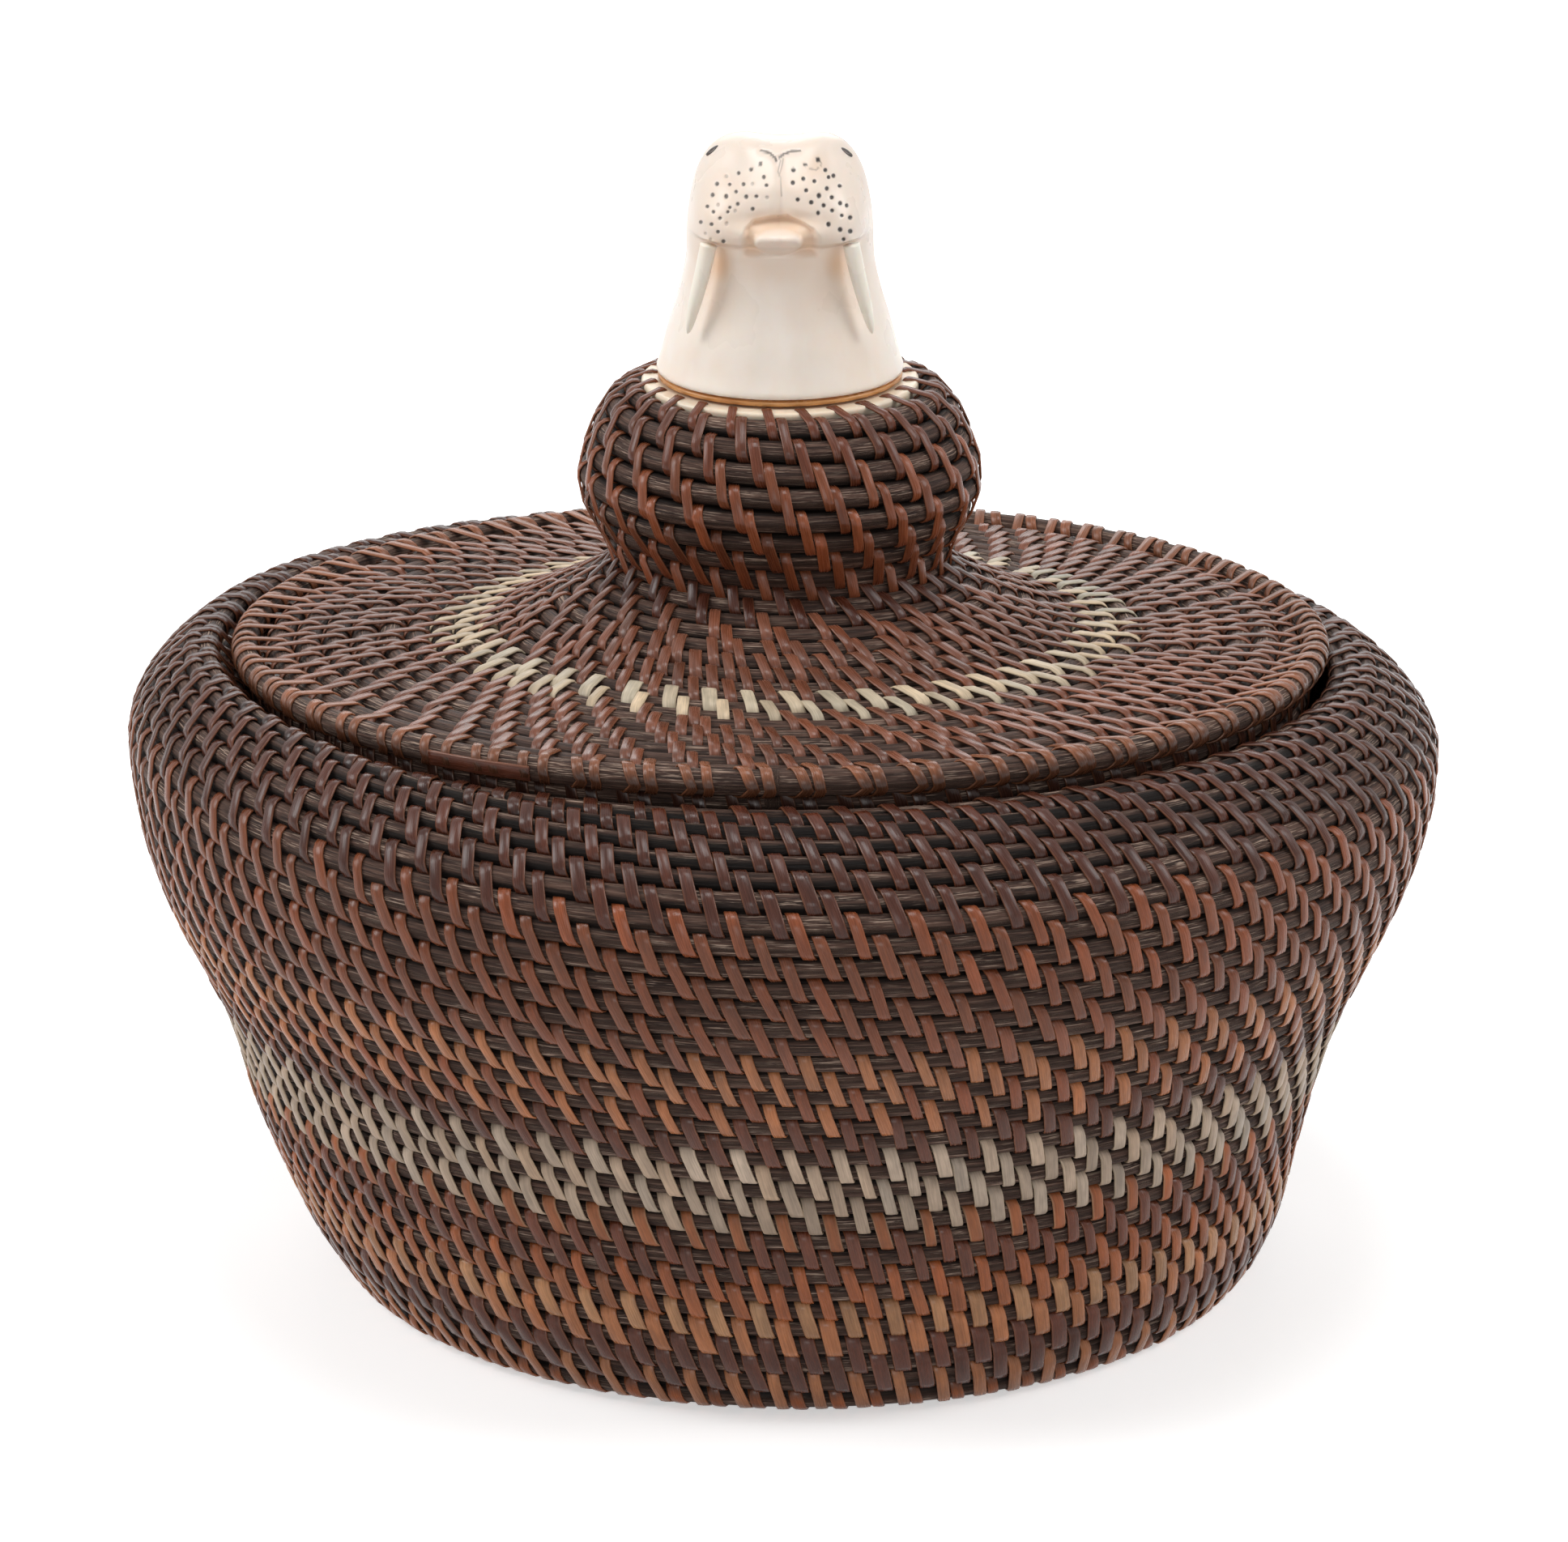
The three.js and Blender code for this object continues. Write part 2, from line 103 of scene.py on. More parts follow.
# Rods and strips
STRIP_THICKNESS = 0.3
BASE_PITCH = 2.25
BASE_LIFT = 0.08
DISC_OVERLAP = 1.1
DISC_EDGE_RADIUS = KNOB_TOP_RADIUS - DISC_OVERLAP
RIM_MIDDLE = (LID_RADIUS - RIM_ROD / 2 - 0.18, RIM_BOTTOM + RIM_ROD / 2 + 0.15)
RIM_RADIUS = RIM_ROD / 2 - 0.12
SPLICE_ANGLES = (-36, -24.5)
SPLICE_TURN = math.radians(-12)
SPLICE_SIZE = (1.8, 0.34)

# How finely the curves are read
SPAN_SAMPLES = 40
HEADING_STEP = 0.002
WALL_SAMPLES = 400
LID_SAMPLES = 500
LID_CURVE_SAMPLES = 1500

# The photograph's camera
PHOTO_WIDTH = 1936
PHOTO_HEIGHT = 1904
CAMERA_FOCAL_PX = 5950
CAMERA_TARGET = np.array([0, 0, 57.9])
CAMERA_DISTANCE = 565
CAMERA_ELEVATION = math.radians(16.17)
SENSOR_WIDTH = 36


def srgb(red, green, blue):
    """A colour given as 0 to 255 screen values, as linear numbers."""
    share = np.array([red, green, blue], float) / 255
    return np.where(share <= 0.04045, share / 12.92, ((share + 0.055) / 1.055) ** 2.4)


def smooth(value, low, high):
    share = np.clip((value - low) / (high - low), 0, 1)
    return share * share * (3 - 2 * share)


def mix(a, b, share):
    return a + (b - a) * share


def hill(value, centre, width):
    return np.exp(-(((value - centre) / width) ** 2))


def unit(vectors):
    return vectors / np.maximum(np.linalg.norm(vectors, axis=-1, keepdims=True), 1e-9)


# Outlines

def spline(points):
    """Points of the curve that runs smoothly through the given ones."""
    p = np.array(points, float)
    p = np.vstack([p[:1], p, p[-1:]])
    share = np.linspace(0, 1, SPAN_SAMPLES, endpoint=False)[:, None]
    parts = []
    for i in range(1, len(p) - 2):
        a, b = p[i], p[i + 1]
        leave, arrive = (p[i + 1] - p[i - 1]) / 2, (p[i + 2] - p[i]) / 2
        parts.append((2 * a - 2 * b + leave + arrive) * share ** 3
                     + (3 * b - 3 * a - 2 * leave - arrive) * share ** 2 + leave * share + a)
    return np.vstack(parts + [p[-1:]])


def far_along(points):
    """The length passed at each point of a line."""
    steps = np.linalg.norm(np.diff(points, axis=0), axis=1)
    return np.concatenate([[0], np.cumsum(steps)])


def read_curve(curve, known, wanted):
    """Points of a curve at the wanted places, where known gives the places of its own points."""
    return np.stack([np.interp(wanted, known, curve[:, k]) for k in (0, 1)], -1)


class Outline:
    """A curve of radius and height that can be read at shares of its length."""

    def __init__(self, points):
        self.points = spline(points)
        self.far = far_along(self.points)
        self.length = self.far[-1]

    def at(self, share):
        return read_curve(self.points, self.far, np.asarray(share) * self.length)

    def inside(self, share, depth, side):
        """Points this deep inside the outline; side is 1 where it runs up and -1 where it runs down."""
        low, high = np.clip(share - HEADING_STEP, 0, 1), np.clip(share + HEADING_STEP, 0, 1)
        heading = unit(self.at(high) - self.at(low))
        outward = side * np.stack([heading[:, 1], -heading[:, 0]], -1)
        return self.at(share) - outward * np.reshape(depth, (-1, 1))


WALL_SHARES = [(0, 0.04), (0.026, 0.09), (0.064, 0.145), (0.146, 0.245), (0.309, 0.361),
               (0.529, 0.552), (0.741, 0.813), (0.88, 0.949), (1, 1)]
SHOULDER_SHARES = [(0.31, 0.07), (0.57, 0.25), (0.8, 0.5), (0.96, 0.75), (1, 1)]
KNOB_SHARES = [(1, 0), (0.84, 0.54), (0.56, 0.92), (0.38, 1)]
KNOB_UNDER_SHARES = [(0.2, 0.66), (0.07, 0.22)]
LID_SHARES = [(0.03, 0.915), (0.125, 0.67), (0.224, 0.44), (0.322, 0.25), (0.445, 0.13), (0.568, 0.07),
              (0.8, 0.03), (1, 0)]

wall_outline = Outline(
    [(mix(FOOT_RADIUS, BELLY_RADIUS, out), BELLY_HEIGHT * up) for up, out in WALL_SHARES]
    + [(mix(BELLY_RADIUS, MOUTH_RADIUS, inward), mix(BELLY_HEIGHT, MOUTH_HEIGHT, up))
       for up, inward in SHOULDER_SHARES])
lid_outline = Outline(
    [(mix(KNOB_TOP_RADIUS, KNOB_RADIUS, out), mix(KNOB_BOTTOM, KNOB_TOP, up)) for up, out in KNOB_SHARES]
    + [(mix(NECK_RADIUS, KNOB_RADIUS, out), mix(KNOB_BOTTOM, KNOB_TOP, up)) for up, out in KNOB_UNDER_SHARES]
    + [(NECK_RADIUS, mix(NECK_BOTTOM, KNOB_BOTTOM, 0.6))]
    + [(mix(NECK_RADIUS, LID_EDGE_RADIUS, out), mix(LID_EDGE_HEIGHT, NECK_BOTTOM, up))
       for out, up in LID_SHARES])

# Coils

# Rows are counted from the top, and a rod's place is a number of turns from the back of the first row
WALL_RODS = 35
LID_RODS = 25
ROD_SHARE = 0.505
LID_ROD_INSET = 1.45
TAPERED_END = 0.04
FIRST_BASE_STEP = 0.98
BASE_DISC_GAP = 0.3
MOST_STRETCH = 1.6
# Where the rods lie: pairs of the share of the rods passed and the share of the curve's length
WALL_ROD_SHARES = [(0, 0), (0.014, 0.018), (0.1, 0.127), (0.214, 0.239), (0.357, 0.379), (0.5, 0.514),
                   (0.643, 0.6555), (0.757, 0.774), (0.843, 0.8665), (0.957, 0.967), (1, 1)]
LID_ROD_SHARES = [(0, 0), (0.02, 0.017), (0.18, 0.183), (0.3, 0.31), (0.34, 0.34), (0.38, 0.368),
                  (0.54, 0.506), (0.66, 0.615), (0.74, 0.695), (0.82, 0.785), (0.98, 0.977), (1, 1)]
RISE_SHARES = {"from": 0.755, "to": 1.117, "mouth side": 1.013, "outside": 1.075}
BULGE_SHARES = {"height": 0.34, "spread": 0.16}


def phi_of(turns):
    return TURN * np.asarray(turns) + math.pi


def shoulder_rise(r, z, phi):
    """How much higher the shoulder stands at the angle phi than it does in front."""
    to_right = np.sin(phi)
    behind = mix(SHOULDER_RISE_LEFT, SHOULDER_RISE_RIGHT, (1 + to_right) / 2)
    ahead = to_right ** 2 * np.where(to_right < 0, SHOULDER_RISE_LEFT, SHOULDER_RISE_RIGHT)
    amount = np.where(np.cos(phi) < 0, behind, ahead)
    beside = smooth(r / MOUTH_RADIUS, RISE_SHARES["mouth side"], RISE_SHARES["outside"])
    outer = np.where(z < BELLY_HEIGHT, 1, beside)
    return amount * outer * smooth(z / BELLY_HEIGHT, RISE_SHARES["from"], RISE_SHARES["to"])


class Coil:
    """The middle of a coiled rod as radius, height and rod radius over the number of turns.

    before and beyond are what the first and the last stitches tie on, given in the same way."""

    def __init__(self, turns, places, rods, high, before=None, beyond=None, rises=False):
        self.turns, self.places, self.rods = turns, places, rods
        self.high, self.before, self.beyond, self.rises = high, before, beyond, rises

    def row(self, place):
        return [np.interp(place, self.turns, column) for column in self.places.T]

    def risen(self, r, z, rod, middle, phi):
        """The place and the thickness where the shoulder stands higher: a rod is thicker where its row is."""
        (ra, za), (rb, zb) = self.row(middle - 0.5), self.row(middle + 0.5)
        flat = np.hypot(rb - ra, zb - za)
        za, zb = za + shoulder_rise(ra, za, phi), zb + shoulder_rise(rb, zb, phi)
        length = np.hypot(rb - ra, zb - za)
        thick = rod * np.clip(length / np.maximum(flat, 0.1), 1, MOST_STRETCH)
        z = z + shoulder_rise(r, z, phi)
        return r + (zb - za) / length * (thick - rod), z - (rb - ra) / length * (thick - rod), thick

    def at(self, turns):
        turns = np.asarray(turns, float)
        low = np.clip(turns - 0.5, 0, self.high)
        high = np.clip(turns + 0.5, 0, self.high)
        middle = (low + high) / 2
        r, z = self.row(middle)
        rod = np.interp(middle, self.turns, self.rods) * np.maximum(high - low, TAPERED_END)
        if self.rises:
            r, z, rod = self.risen(r, z, rod, middle, phi_of(turns))
        for chosen, other in ((turns < 0, self.before), (turns >= self.high, self.beyond)):
            if other is not None:
                r, z, rod = (np.where(chosen, b, v) for b, v in zip(other, (r, z, rod)))
        return r, z, rod


def read_rows(table, share):
    """The share of a curve's length where this share of the rods is passed."""
    return np.interp(share, *spline(table).T)


def wall_coil():
    """The wall's rods, laid inside its outline, and then the flat base's, from the foot inwards."""
    turns = np.linspace(0, WALL_RODS - 0.5, WALL_SAMPLES)
    share = read_rows(WALL_ROD_SHARES, 1 - turns / WALL_RODS)
    rods = -np.gradient(share, turns) * wall_outline.length * ROD_SHARE
    places = wall_outline.inside(share, rods + STRIP_THICKNESS, 1)
    places[:, 1] = np.maximum(places[:, 1], rods + STRIP_THICKNESS + BASE_LIFT)
    base_rod = BASE_PITCH * ROD_SHARE
    first_in = places[-1, 0] - BASE_PITCH * FIRST_BASE_STEP
    inward = np.arange(int((first_in - BASE_DISC_RADIUS - BASE_DISC_GAP) / BASE_PITCH) + 1)
    base = np.stack([first_in - BASE_PITCH * inward, 0 * inward + base_rod + STRIP_THICKNESS + BASE_LIFT], -1)
    turns = np.concatenate([turns, WALL_RODS + 0.5 + inward])
    rods = np.concatenate([rods, 0 * inward + base_rod])
    return Coil(turns, np.vstack([places, base]), rods, turns[-1], rises=True)


def lid_coil():
    """The rods of the knob and the lid, laid inside their outline from the knob's disc to the rim."""
    middle = lid_outline.inside(np.linspace(0, 1, LID_CURVE_SAMPLES), LID_ROD_INSET, -1)
    far = far_along(middle)
    turns = np.linspace(0, LID_RODS, LID_SAMPLES)
    place = read_rows(LID_ROD_SHARES, turns / LID_RODS) * far[-1]
    rods = np.gradient(place, turns) * ROD_SHARE
    disc_edge = (DISC_EDGE_RADIUS - DISC_OVERLAP, KNOB_TOP - KNOB_DISC / 2, KNOB_DISC / 2)
    return Coil(turns, read_curve(middle, far, place), rods, LID_RODS, disc_edge, (*RIM_MIDDLE, RIM_RADIUS))


# Lean, nod and places

def settle(points, body):
    """Gives the basket's body its lean and its bulge, and the lid its nod, as the solids have them."""
    out = points.copy()
    x, y, z = points[..., 0], points[..., 1], points[..., 2]
    if body == "lid":
        out[..., 0] = x + LID_SHIFT
        out[..., 2] = z + math.tan(KNOB_TILT) * smooth(z, NECK_BOTTOM, KNOB_TOP) * y
        return out
    below = np.maximum(0, 1 - z / BELLY_HEIGHT)
    sideways = x ** 2 / np.maximum(x ** 2 + y ** 2, 0.1)
    low = hill(z / BELLY_HEIGHT, BULGE_SHARES["height"], BULGE_SHARES["spread"])
    out[..., 0] = x + FOOT_LEAN * below ** 3 - SIDE_BULGE * sideways * low * (x < 0)
    out[..., 2] = np.maximum(z, 0)
    return out


def finial_place(points):
    """Points given from the middle of the knob's top, tilted with it and put on it."""
    y, z = points[..., 1], points[..., 2]
    out = points.copy()
    out[..., 0] = points[..., 0] + LID_SHIFT
    out[..., 1] = y * math.cos(KNOB_TILT) - z * math.sin(KNOB_TILT)
    out[..., 2] = y * math.sin(KNOB_TILT) + z * math.cos(KNOB_TILT) + KNOB_TOP
    return out


def round_place(r, z, phi):
    """A point at radius r and angle phi from the front, counted towards +X."""
    r, z, phi = np.broadcast_arrays(r, z, phi)
    return np.stack([r * np.sin(phi), -r * np.cos(phi), z], -1)


# Meshes

ATTRIBUTE_KINDS = {1: ("FLOAT", "value"), 3: ("FLOAT_VECTOR", "vector"), 4: ("FLOAT_COLOR", "color")}


def put(name, data):
    thing = bpy.data.objects.new(name, data)
    bpy.context.scene.collection.objects.link(thing)
    return thing


def make_piece(name, node, body, material, points, faces, marks={}):
    """A smooth mesh that stands for a node.

    faces is a list of arrays with three or four corners each; marks has one value or row for each point."""
    mesh = bpy.data.meshes.new(name)
    mesh.vertices.add(len(points))
    mesh.vertices.foreach_set("co", (points * MM).astype(np.float32).ravel())
    corners = np.concatenate([f.ravel() for f in faces]).astype(np.int32)
    sizes = np.concatenate([np.full(len(f), f.shape[1]) for f in faces])
    starts = np.concatenate([[0], np.cumsum(sizes)[:-1]]).astype(np.int32)
    mesh.loops.add(len(corners))
    mesh.loops.foreach_set("vertex_index", corners)
    mesh.polygons.add(len(sizes))
    mesh.polygons.foreach_set("loop_start", starts)
    mesh.polygons.foreach_set("use_smooth", np.ones(len(sizes), bool))
    for key, values in marks.items():
        if key == "tone":
            values = np.column_stack([values, np.ones(len(values))])
        kind, field = ATTRIBUTE_KINDS[values.size // len(values)]
        mesh.attributes.new(key, kind, "POINT").data.foreach_set(field, values.astype(np.float32).ravel())
    mesh.update(calc_edges=True)
    mesh.validate()
    mesh.materials.append(material)
    piece = put(name, mesh)
    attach(piece, body)
    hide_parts(node)


def loop_faces(count, along, around, closed):
    """Quads of count tubes, each along by around points, joined end to end if closed."""
    i = np.arange(count)[:, None, None] * along * around
    j = np.arange(along if closed else along - 1)[None, :, None]
    k = np.arange(around)[None, None, :]
    ahead, beside = (j + 1) % along, (k + 1) % around
    quad = [i + j * around + k, i + j * around + beside, i + ahead * around + beside, i + ahead * around + k]
    return np.stack([np.broadcast_to(q, (count, j.shape[1], around)) for q in quad], -1).reshape(-1, 4)


def fan_faces(around):
    """Triangles that shut a ring of points from its first one."""
    return np.stack([np.zeros(around - 2, int), np.arange(1, around - 1), np.arange(2, around)], -1)


def cone_faces(first, around, tip):
    """Triangles from a ring, which starts at the point first, to a tip."""
    ring = np.arange(around)
    return np.stack([first + ring, first + (ring + 1) % around, np.full(around, tip)], -1)


def tube_faces(along, around, closed=False):
    """Faces of one tube, shut at both ends unless it is closed into a ring."""
    faces = [loop_faces(1, along, around, closed)]
    if not closed:
        faces += [fan_faces(around)[:, ::-1], fan_faces(around) + (along - 1) * around]
    return faces


# Rods

ROD_SIDES = 16
ROD_STEP = 1.5
LEAST_ROD_STEPS = 24
GRAIN_SPREAD = 500
# How uneven a rod is, aside, upwards and in its thickness: the length of its waves and their size
ROD_WAVES = [(14, 0.05), (18, 0.05), (25, 0.05)]
NEIGHBOUR_TURNS = 0.6


def smooth_noise(values, period, rng):
    """A smooth random curve read at values, from about -1 to 1."""
    place = (values - values.min()) / period
    knots = rng.normal(0, 0.5, int(place.max()) + 4)
    low = np.floor(place).astype(int)
    share = smooth(place - low, 0, 1)
    return knots[low] * (1 - share) + knots[low + 1] * share


def rod_mesh(r, z, rod, phi, chord, rng, closed=False):
    """A tube round a middle line, a little uneven; chord points to the next rod, for the painted shade on the
    side that faces it.
    """
    far = np.concatenate([[0], np.cumsum(np.abs(np.diff(phi)) * r[:-1])])
    aside, up, swell = [smooth_noise(far, period, rng) * size * (not closed) for period, size in ROD_WAVES]
    thick = rod * (1 + swell)
    turn = np.linspace(0, TURN, ROD_SIDES, endpoint=False)
    rr = (r + aside)[:, None] + thick[:, None] * np.cos(turn)
    zz = (z + up)[:, None] + thick[:, None] * np.sin(turn)
    points = round_place(rr, zz, phi[:, None]).reshape(-1, 3)
    faces = [f[:, ::-1] for f in tube_faces(len(phi), ROD_SIDES, closed)]
    grain = np.stack(np.broadcast_arrays(far[:, None], turn * rod.mean(), rng.uniform(0, GRAIN_SPREAD)), -1)
    # How squarely each point faces the next rods: there the rod gets painted shade
    neighbour_shade = np.abs(chord[:, :1] * np.cos(turn) + chord[:, 1:] * np.sin(turn))
    return points, faces, {"grain": grain.reshape(-1, 3), "neighbour_shade": neighbour_shade.ravel()}


def build_rods(coil, body, node, start, end, rng):
    """One run's rod, from one number of turns to another."""
    length = TURN * (end - start) * (coil.at(start)[0] + coil.at(end)[0]) / 2
    turns = np.linspace(start, end, max(int(length / ROD_STEP), LEAST_ROD_STEPS))
    above, below = coil.at(turns - NEIGHBOUR_TURNS), coil.at(turns + NEIGHBOUR_TURNS)
    chord = unit(np.stack([below[0] - above[0], below[1] - above[1]], -1))
    points, faces, marks = rod_mesh(*coil.at(turns), phi_of(turns), chord, rng)
    make_piece(f"{node}_rods", node, body, rod_finish, settle(points, body), faces, marks)


def build_rings(name, node, rows, steps, chord, rng):
    """Closed rods round the lid, one for each row of radius, height and rod radius."""
    phi = np.linspace(0, TURN, steps, endpoint=False)
    full = np.ones(steps)
    made = [rod_mesh(r * full, z * full, rod * full, phi, full[:, None] * chord, rng, True)
            for r, z, rod in rows]
    points = np.concatenate([points for points, _, _ in made])
    faces = [faces[0] + n * steps * ROD_SIDES for n, (_, faces, _) in enumerate(made)]
    marks = {key: np.concatenate([marks[key] for _, _, marks in made]) for key in ("grain", "neighbour_shade")}
    make_piece(name, node, "lid", rod_finish, settle(points, "lid"), faces, marks)


# Stitches: strips that loop round two rods

STRIP_SECTION = np.array([(-0.5, -0.3), (-0.49, 0.12), (-0.41, 0.4), (0, 0.5),
                          (0.41, 0.4), (0.49, 0.12), (0.5, -0.3), (0, -0.5)])
# Each station is the rod, 0 for the first and 1 for the second, and the angle round it from straight out
WALL_STATIONS = [(0, -104), (0, -80), (0, -55), (0, -28), (0, 0), (1, 0), (1, 28), (1, 55), (1, 80), (1, 104),
                 (1, 145), (1, 180), (0, 180), (0, 215)]
RIM_STATIONS = [(0, -104), (0, -70), (0, -35), (0, 0), (1, 0), (1, 25), (1, 50), (1, 75), (1, 100), (1, 125),
                (1, 150), (1, 175), (0, 180), (0, 215)]
WRAP_STATIONS = [(1, angle) for angle in range(-120, 240, 24)]
LAST_FRONT_ANGLE = 125
RETURN_LENGTH = 1.5
STRIP_GRAIN_STEP = 3.7


def stitch_paths(first, second, phi, slant, lift, stations):
    """Closed paths and outward directions of strips round the rods first and second, each (r, z, rod)."""
    chord = unit(np.stack([second[0] - first[0], second[1] - first[1]], -1))[:, None]
    outward = np.stack([-chord[..., 1], chord[..., 0]], -1)
    on_second, degrees = np.transpose(stations)
    angle = np.radians(degrees)
    ways = outward * np.cos(angle)[:, None] + chord * np.sin(angle)[:, None]
    r, z, rod = (np.where(on_second, b[:, None], a[:, None]) for a, b in zip(first, second))
    out = rod + STRIP_THICKNESS / 2 + lift[:, None] * np.maximum(np.cos(angle), 0)
    r, z = r + ways[..., 0] * out, z + ways[..., 1] * out
    steps = np.hypot(np.diff(r, axis=1), np.diff(z, axis=1))
    far = np.concatenate([np.zeros((len(r), 1)), np.cumsum(steps, 1)], 1)
    front = np.count_nonzero(degrees <= LAST_FRONT_ANGLE) - 1
    turned = far[:, front:front + 1]
    share = far / turned
    rest = (far - turned) / (far[:, -1:] - turned + RETURN_LENGTH)
    angle = phi[:, None] + np.where(share <= 1, share, 1 - rest) * slant[:, None] / r
    return round_place(r, z, angle), round_place(ways[..., 0], ways[..., 1], angle), far


def ribbons(paths, normals, far, widths, thickness=STRIP_THICKNESS, closed=True):
    """Strips with a rounded section along the given paths; an open one comes alone."""
    if closed:
        heading = unit(np.roll(paths, -1, 1) - np.roll(paths, 1, 1))
    else:
        heading = unit(np.gradient(paths, axis=1))
    side = unit(np.cross(heading, normals))
    up = np.cross(side, heading)
    count, along = paths.shape[:2]
    across = STRIP_SECTION[:, :1] * widths[:, None, None, None]
    rise = STRIP_SECTION[:, 1:] * thickness
    points = paths[:, :, None, :] + side[:, :, None, :] * across + up[:, :, None, :] * rise
    size = len(STRIP_SECTION)
    faces = [loop_faces(count, along, size, True)] if closed else tube_faces(along, size)
    each = np.arange(count)[:, None, None] * STRIP_GRAIN_STEP
    grain = np.stack(np.broadcast_arrays(far[:, :, None], 2 * STRIP_SECTION[:, 0], each), -1)
    return points.reshape(-1, 3), faces, grain.reshape(-1, 3)


# The stitches' room as a share of their width, and how far one moves towards an even distance
STRIP_ROOM = 1.04
STITCH_JITTER = 0.1
EVENNESS = 0.22
# A stitch is left out or added where the distance is this many times the wanted one
LEAVE_OUT_BELOW = 0.5
ADD_ABOVE = 1.55


def sew(coil, start, end, count, width, slant, rng):
    """Where the stitches are, in turns: each one sits just past the one above it."""
    first = int(round(count(start)))
    parents = deque(start - 1 + np.arange(first) / first)
    made = []
    previous = None
    while True:
        below = parents.popleft() + 1
        ring = TURN * float(coil.at(below)[0])
        offset = (slant(below) / 2 + width(below) * STRIP_ROOM) / ring
        place = below + offset + rng.normal(0, STITCH_JITTER) / ring
        want = (1 + offset) / count(below)
        if previous is not None:
            gap = place - previous
            place = previous + mix(gap, want, EVENNESS)
            if gap < LEAVE_OUT_BELOW * want:
                continue
            if gap > ADD_ABOVE * want:
                parents.append(previous + gap / 2)
                made.append(previous + gap / 2)
        if place >= end:
            break
        previous = place
        parents.append(place)
        made.append(place)
    return np.array([t for t in made if start <= t < end])


# Colours

INK = srgb(52, 44, 40)
# Near black of the painted shade between the rods
PAINTED_GROOVE_SHADE = srgb(8, 5, 4)
ROD_DARK = srgb(42, 30, 26)
ROD_BROWN = srgb(96, 73, 63)
ROD_PALE = srgb(168, 146, 130)
DARK = srgb(92, 50, 34)
# The shoulder's dark strips; also painted shade on the mouth row and the knob's neck
SHOULDER_DARK_AND_SHADE = srgb(72, 38, 27)
# Near black painted shade for the flange's strips, which lie under the lid
FLANGE_SHADE = srgb(56, 32, 24)
RUSSET = srgb(120, 65, 40)
LID_RUSSET = srgb(114, 69, 51)
RIM_TAN = srgb(128, 81, 57)
DUSKY = srgb(112, 67, 49)
TAN = srgb(160, 102, 66)
PALE_TAN = srgb(170, 120, 82)
CREAM = srgb(166, 144, 124)
VERY_DARK = srgb(84, 46, 33)
RUSSET_TAN = srgb(144, 82, 48)
LID_CREAM = srgb(196, 177, 150)
STRIP_EDGE = srgb(164, 108, 76)
CREAM_EDGE = srgb(200, 180, 148)
IVORY = srgb(250, 237, 225)
DISC_IVORY = srgb(226, 210, 188)
TUSK_IVORY = srgb(248, 240, 226)
# Colour of the painted shade on the head's top
HEAD_TOP_SHADE = srgb(206, 184, 164)
# Warm stain colour; on the face it also paints shade in the hollows
STAIN_AND_SHADE = srgb(226, 176, 122)
AMBER = srgb(212, 154, 92)
AMBER_DARK = srgb(186, 122, 64)
EYE = srgb(66, 50, 42)
EYE_DARK = srgb(38, 30, 26)
WHITE = (1, 1, 1, 1)

# Materials

# Most of a noise's values lie between these
NOISE_SPREAD = (0.3, 0.7)
# Where the painted shade on the top of the head starts and ends, in metres up, and how strong it is
HEAD_TOP_SHADE_HEIGHTS = (0.110, 0.130)
HEAD_TOP_SHADE_AMOUNT = 0.34


class Nodes:
    """Makes and links the nodes of one material or world."""

    def __init__(self, owner):
        owner.use_nodes = True
        self.owner, self.tree = owner, owner.node_tree
        self.tree.nodes.clear()

    def add(self, kind, inputs, **settings):
        """The outputs of a new node, whose inputs are linked to sockets or set to values."""
        node = self.tree.nodes.new("ShaderNode" + kind)
        for key, value in settings.items():
            setattr(node, key, value)
        for key, value in inputs.items():
            if isinstance(value, bpy.types.NodeSocket):
                self.tree.links.new(value, node.inputs[key])
            else:
                node.inputs[key].default_value = value
        return node.outputs

    def mark(self, name, output="Fac"):
        return self.add("Attribute", {}, attribute_name=name)[output]

    def place(self):
        return self.add("TexCoord", {})["Object"]

    def part(self, vector, axis):
        return self.add("SeparateXYZ", {"Vector": vector})[axis]

    def math(self, operation, *values):
        return self.add("Math", dict(enumerate(values)), operation=operation)[0]

    def noise(self, source, scale, detail=3, roughness=0.5):
        vector = self.add("VectorMath", {0: source, 1: scale}, operation="MULTIPLY")[0]
        levels = {"Vector": vector, "Scale": 1, "Detail": detail, "Roughness": roughness}
        return self.add("TexNoise", levels)[0]

    def ranged(self, value, low, high, to_low=0.0, to_high=1.0):
        """The value, taken smoothly from the range low to high over to another range."""
        ends = {"From Min": low, "From Max": high, "To Min": to_low, "To Max": to_high}
        return self.add("MapRange", {"Value": value, **ends}, interpolation_type="SMOOTHSTEP")[0]

    def spread(self, noise, to_low, to_high):
        return self.ranged(noise, *NOISE_SPREAD, to_low, to_high)

    def mixed(self, share, *colours):
        """Two colours mixed: each a socket or a colour of three numbers."""
        a, b = [c if isinstance(c, bpy.types.NodeSocket) else (*map(float, c), 1.0) for c in colours]
        return self.add("Mix", {0: share, 6: a, 7: b}, data_type="RGBA")[2]

    def finish(self, colour, roughness, height, strength, distance, levels={}):
        """Ends a material; the bump is a height, its strength and its distance; levels are other sockets."""
        bump = self.add("Bump", {"Strength": strength, "Distance": distance, "Height": height})[0]
        sockets = {"Base Color": colour, "Roughness": roughness, "Normal": bump, **levels}
        self.add("OutputMaterial", {"Surface": self.add("BsdfPrincipled", sockets)[0]})
        return self.owner


def new_material(name):
    return Nodes(bpy.data.materials.new(name))


